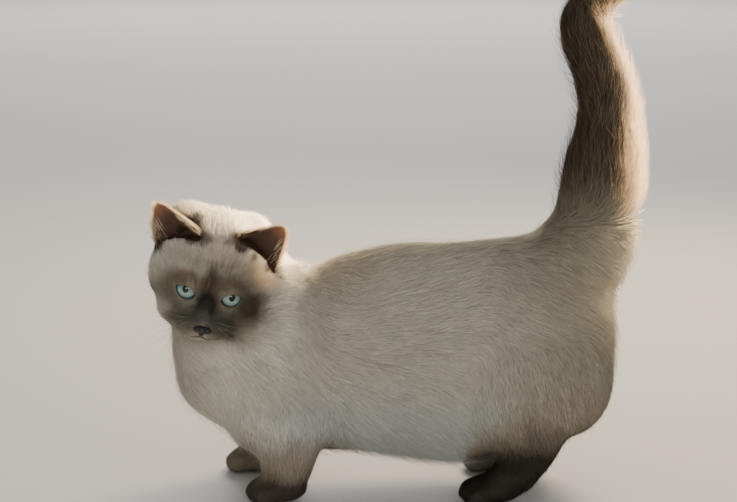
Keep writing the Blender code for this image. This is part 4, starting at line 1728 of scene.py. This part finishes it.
@dataclass
class Studio:
    """Floor, light and camera, none of them part of the cat."""

    aim: Vector = field(default_factory=lambda: STANDS_AT + Vector((0.0, 0.0, 0.173)))
    distance: float = 1.3
    rise: float = math.radians(10.0)
    lens_px: float = 1820.0
    width_px: int = 737
    sensor: float = 36.0
    floor_radius: float = 14.0

    def build(self) -> None:
        """Sets the studio up."""
        self.add_floor()
        self.add_world()
        self.add_lights()
        self.add_camera()

    def add_floor(self) -> None:
        """A plain, pale floor that reaches past the picture's upper edge."""
        bm = bmesh.new()
        bmesh.ops.create_circle(bm, cap_ends=True, segments=96, radius=self.floor_radius)
        mesh = bpy.data.meshes.new("floor")
        bm.to_mesh(mesh)
        bm.free()
        floor = new_object("floor", mesh)
        finish = Finish("floor", tuple(srgb(208, 205, 200)), roughness=0.7, mottle=0.02)
        floor.data.materials.append(finish.make())

    def add_world(self) -> None:
        """An even, pale sky."""
        world = bpy.data.worlds.new("studio")
        world.use_nodes = True
        back = world.node_tree.nodes["Background"]
        back.inputs["Color"].default_value = (*srgb(205, 208, 210), 1.0)
        back.inputs["Strength"].default_value = 0.70
        bpy.context.scene.world = world

    def add_lights(self) -> None:
        """Two small soft boxes beside the camera, and warm light from behind the cat."""
        white, warm = srgb(255, 252, 248), srgb(255, 226, 184)
        boxes = (
            ("key_left", (1.44, -0.32, 0.20), 0.26, 6.8, white),
            ("key_right", (1.44, 0.28, 0.20), 0.26, 6.8, white),
            ("backdrop", (-9.0, 0.0, 5.0), 5.0, 620.0, white),
            ("fill", (1.2, 1.0, 0.7), 0.9, 2.0, srgb(240, 246, 255)),
            ("back", (-0.9, 0.45, 1.0), 0.6, 18.0, warm),
        )
        for name, place, size, power, colour in boxes:
            light = bpy.data.lights.new(name, "AREA")
            light.size = size
            self.place_light(light, place, self.aim, power, colour)
        beams = (
            ("on_crown", (-0.75, 0.60, 0.95), FACE_AT + Vector((-0.02, 0.012, 0.05)), 8.5, 860.0),
            ("on_tail", (-0.40, 1.35, 0.42), STANDS_AT + Vector((0.0, 0.165, 0.28)), 14.0, 1300.0),
        )
        for name, place, aim, width, power in beams:
            light = bpy.data.lights.new(name, "SPOT")
            light.spot_size = math.radians(width)
            light.spot_blend = 0.8
            light.shadow_soft_size = 0.05
            self.place_light(light, place, aim, power, warm)

    @staticmethod
    def place_light(
        light: bpy.types.Light, place: tuple, aim: Vector, power: float, colour: np.ndarray
    ) -> None:
        """Hangs a light up, turned to what it shines on.

        Args:
            light: The light.
            place: Where it hangs.
            aim: What it shines on.
            power: Its power in watts.
            colour: Its colour.
        """
        light.energy = power
        light.color = colour
        lamp = bpy.data.objects.new(light.name, light)
        lamp.location = place
        lamp.rotation_euler = (aim - Vector(place)).to_track_quat("-Z", "Y").to_euler()
        lamp.visible_camera = False
        bpy.context.scene.collection.objects.link(lamp)

    def add_camera(self) -> None:
        """The photograph's viewpoint, from the cat's left and a little above."""
        data = bpy.data.cameras.new("camera")
        data.sensor_width = self.sensor
        data.lens = self.lens_px / self.width_px * self.sensor
        camera = bpy.data.objects.new("camera", data)
        way = Vector((math.cos(self.rise), 0.0, math.sin(self.rise)))
        camera.location = self.aim + self.distance * way
        camera.rotation_euler = (-way).to_track_quat("-Z", "Y").to_euler()
        bpy.context.scene.collection.objects.link(camera)
        bpy.context.scene.camera = camera


@dataclass
class EarHair:
    """The long hairs in the ears' cups, and the fringe along their rims."""

    seed: int = 8
    tufts: int = 220
    fringe: int = 520
    strands: StrandTree = field(default_factory=lambda: StrandTree(sides=3))

    def build(self) -> None:
        """Grows the hairs of both ears."""
        rng = np.random.default_rng(self.seed)
        cream, dark = [], []
        for side in Side:
            ear = Ear(side)
            for _ in range(self.tufts):
                v, turn = rng.uniform(-0.15, 0.42), rng.uniform(0.60, 1.0)
                cream.append(self.hair(ear, rng, v, turn, (0.85, -0.35, 0.45), 0.0100))
                v, turn = rng.uniform(-0.20, 0.30), -rng.uniform(0.75, 1.0)
                dark.append(self.hair(ear, rng, v, turn, (0.80, 0.15, 0.50), 0.0085))
                v, turn = rng.uniform(-0.28, -0.05), rng.uniform(-0.9, 0.9)
                dark.append(self.hair(ear, rng, v, turn, (0.80, 0.00, 0.60), 0.0085))
            # The rim fringe is pale gold, partly the hair's own cream and partly painted backlight.
            for _ in range(self.fringe):
                v, edge = rng.uniform(-0.05, 1.0), rng.choice((-1.0, 1.0))
                cream.append(self.hair(ear, rng, v, edge, (0.80, 0.45 * edge, -0.10), 0.0028))
        self.strands.strands("ear_tufts", cream, 0.00022, 0.00003, CREAM_TUFT_FINISH)
        self.strands.strands("ear_dark_tufts", dark, 0.00018, 0.00003, DARK_TUFT_FINISH)

    @staticmethod
    def hair(
        ear: Ear, rng: np.random.Generator, v: float, share: float, way: tuple, length: float
    ) -> list:
        """One hair's line.

        Args:
            ear: The ear it grows on.
            rng: Random numbers for small turns.
            v: How far up the ear its root is.
            share: How far round the sheet, -1 at the inner edge and 1 at the outer one.
            way: How much it points up the ear, across it and out of the cup.
            length: Its length.

        Returns:
            Points in the row frame.
        """
        radius, wrap = (float(value) for value in ear.bend(np.array(v)))
        root = ear.point(v, share * wrap, radius - 0.4 * ear.wall, wrap)
        turn = ear.side.frame.to_3x3()
        along, across, facing = (turn @ axis for axis in ear.axes())
        noise = Vector(rng.standard_normal(3)) * 0.09
        way = (along * way[0] + across * way[1] + facing * way[2] + noise).normalized()
        length *= rng.uniform(0.7, 1.25)
        curl = 0.3 * length
        return [root + way * length * t + along * curl * t * t for t in np.linspace(-0.05, 1, 6)]


@dataclass
class Mouth:
    """The dark line between the lips, laid on the muzzle."""

    parts_z: float = -0.0250
    corner: tuple = (0.0150, -0.0266)
    sag: float = 0.0022
    nose_foot: float = -0.0224
    stands_out: float = 0.0004

    def build(self, skin: bpy.types.Object, strands: StrandTree) -> bpy.types.Object:
        """Lays the line on the skin.

        Args:
            skin: The finished skin.
            strands: What sweeps the lines.

        Returns:
            The piece.
        """
        surface = BVHTree.FromObject(skin, bpy.context.evaluated_depsgraph_get())
        back = (HEAD.to_3x3() @ Vector((0.0, 1.0, 0.0))).normalized()
        made = []
        for line in self.lines():
            starts = [HEAD @ Vector((x, -0.05, z)) for x, z in line]
            hits = [surface.ray_cast(start, back)[0] for start in starts]
            made.append([hit - back * self.stands_out for hit in hits])
        return strands.strands("mouth", made, 0.00036, 0.00012, LIP_FINISH)

    def lines(self) -> list:
        """The mouth from the front, as x and z: down from the nose, then to either corner."""
        lines = [[(0.0, self.nose_foot), (0.0, 0.5 * (self.nose_foot + self.parts_z))]]
        lines[0].append((0.0, self.parts_z))
        for side in Side:
            line = []
            for t in np.linspace(0.0, 1.0, 12):
                drop = self.sag * math.sin(math.pi * min(1.0, 1.2 * t))
                z = self.parts_z + (self.corner[1] - self.parts_z) * t - drop
                line.append((side.value * self.corner[0] * t, z))
            lines.append(line)
        return lines


@dataclass
class Whiskers:
    """Whiskers on the muzzle and over the eyes."""

    seed: int = 3
    strands: StrandTree = field(default_factory=StrandTree)

    def build(self, skin: bpy.types.Object) -> bpy.types.Object:
        """Grows the whiskers out of the skin.

        Args:
            skin: The finished skin.

        Returns:
            The piece.
        """
        rng = np.random.default_rng(self.seed)
        surface = BVHTree.FromObject(skin, bpy.context.evaluated_depsgraph_get())
        lines = []
        for side in Side:
            for row in range(3):
                for column in range(3):
                    root = Vector((0.0090 + 0.0030 * column, -0.008, -0.0165 - 0.0028 * row))
                    way = Vector((0.85, -0.30 + 0.20 * column, 0.06 - 0.26 * row))
                    length = (0.021 + 0.003 * column) * (0.85 + 0.3 * rng.random())
                    lines.append(self.line(side, surface, root, way, length, rng))
            for k in range(2):
                root = Vector((0.013 + 0.003 * k, 0.004, 0.0135))
                way = Vector((0.25 + 0.2 * k, -0.35, 1.0))
                lines.append(self.line(side, surface, root, way, 0.018, rng))
        return self.strands.strands("whiskers", lines, 0.00010, 0.00003, WHISKER_FINISH)

    @staticmethod
    def line(
        side: Side,
        surface: BVHTree,
        root: Vector,
        way: Vector,
        length: float,
        rng: np.random.Generator,
    ) -> list:
        """One whisker's line, curved down under its own weight.

        Args:
            side: Which side of the face.
            surface: The skin.
            root: About where it grows, in the side's frame.
            way: Which way it points, in the side's frame.
            length: Its length.
            rng: Random numbers for small turns.

        Returns:
            Points in the row frame.
        """
        place = side.frame
        start = surface.find_nearest(place @ root)[0]
        noise = Vector(rng.standard_normal(3)) * 0.06
        way = (place.to_3x3() @ (way.normalized() + noise)).normalized()
        points = []
        for t in np.linspace(-0.02, 1.0, 14):
            drop = Vector((0.0, 0.0, -1.0)) * 0.22 * length * max(t, 0.0) ** 2
            points.append(start + way * length * t + drop)
        return points


def main() -> None:
    """Builds the cat's skin, coat and features, then the studio."""
    logging.basicConfig(level=logging.INFO, format="%(name)s: %(message)s")
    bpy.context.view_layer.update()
    skin = Skin().build()
    surface = Surface.of(skin)
    coat_map = CoatMap(surface)
    Skin.paint(skin, coat_map)
    Coat(surface, coat_map).grow()
    strands = StrandTree()
    rims = []
    for side in Side:
        eye = Eye(side)
        eye.ball()
        rims.append(eye.rim_line())
    strands.strands("lid_rims", rims, Eye.rim, Eye.rim, RIM_FINISH, closed=True)
    Whiskers(strands=strands).build(skin)
    Mouth().build(skin, strands)
    EarHair().build()
    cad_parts["nose"].material_slots[0].material = NOSE_FINISH.make()
    Studio().build()


if __name__ == "__main__":
    main()
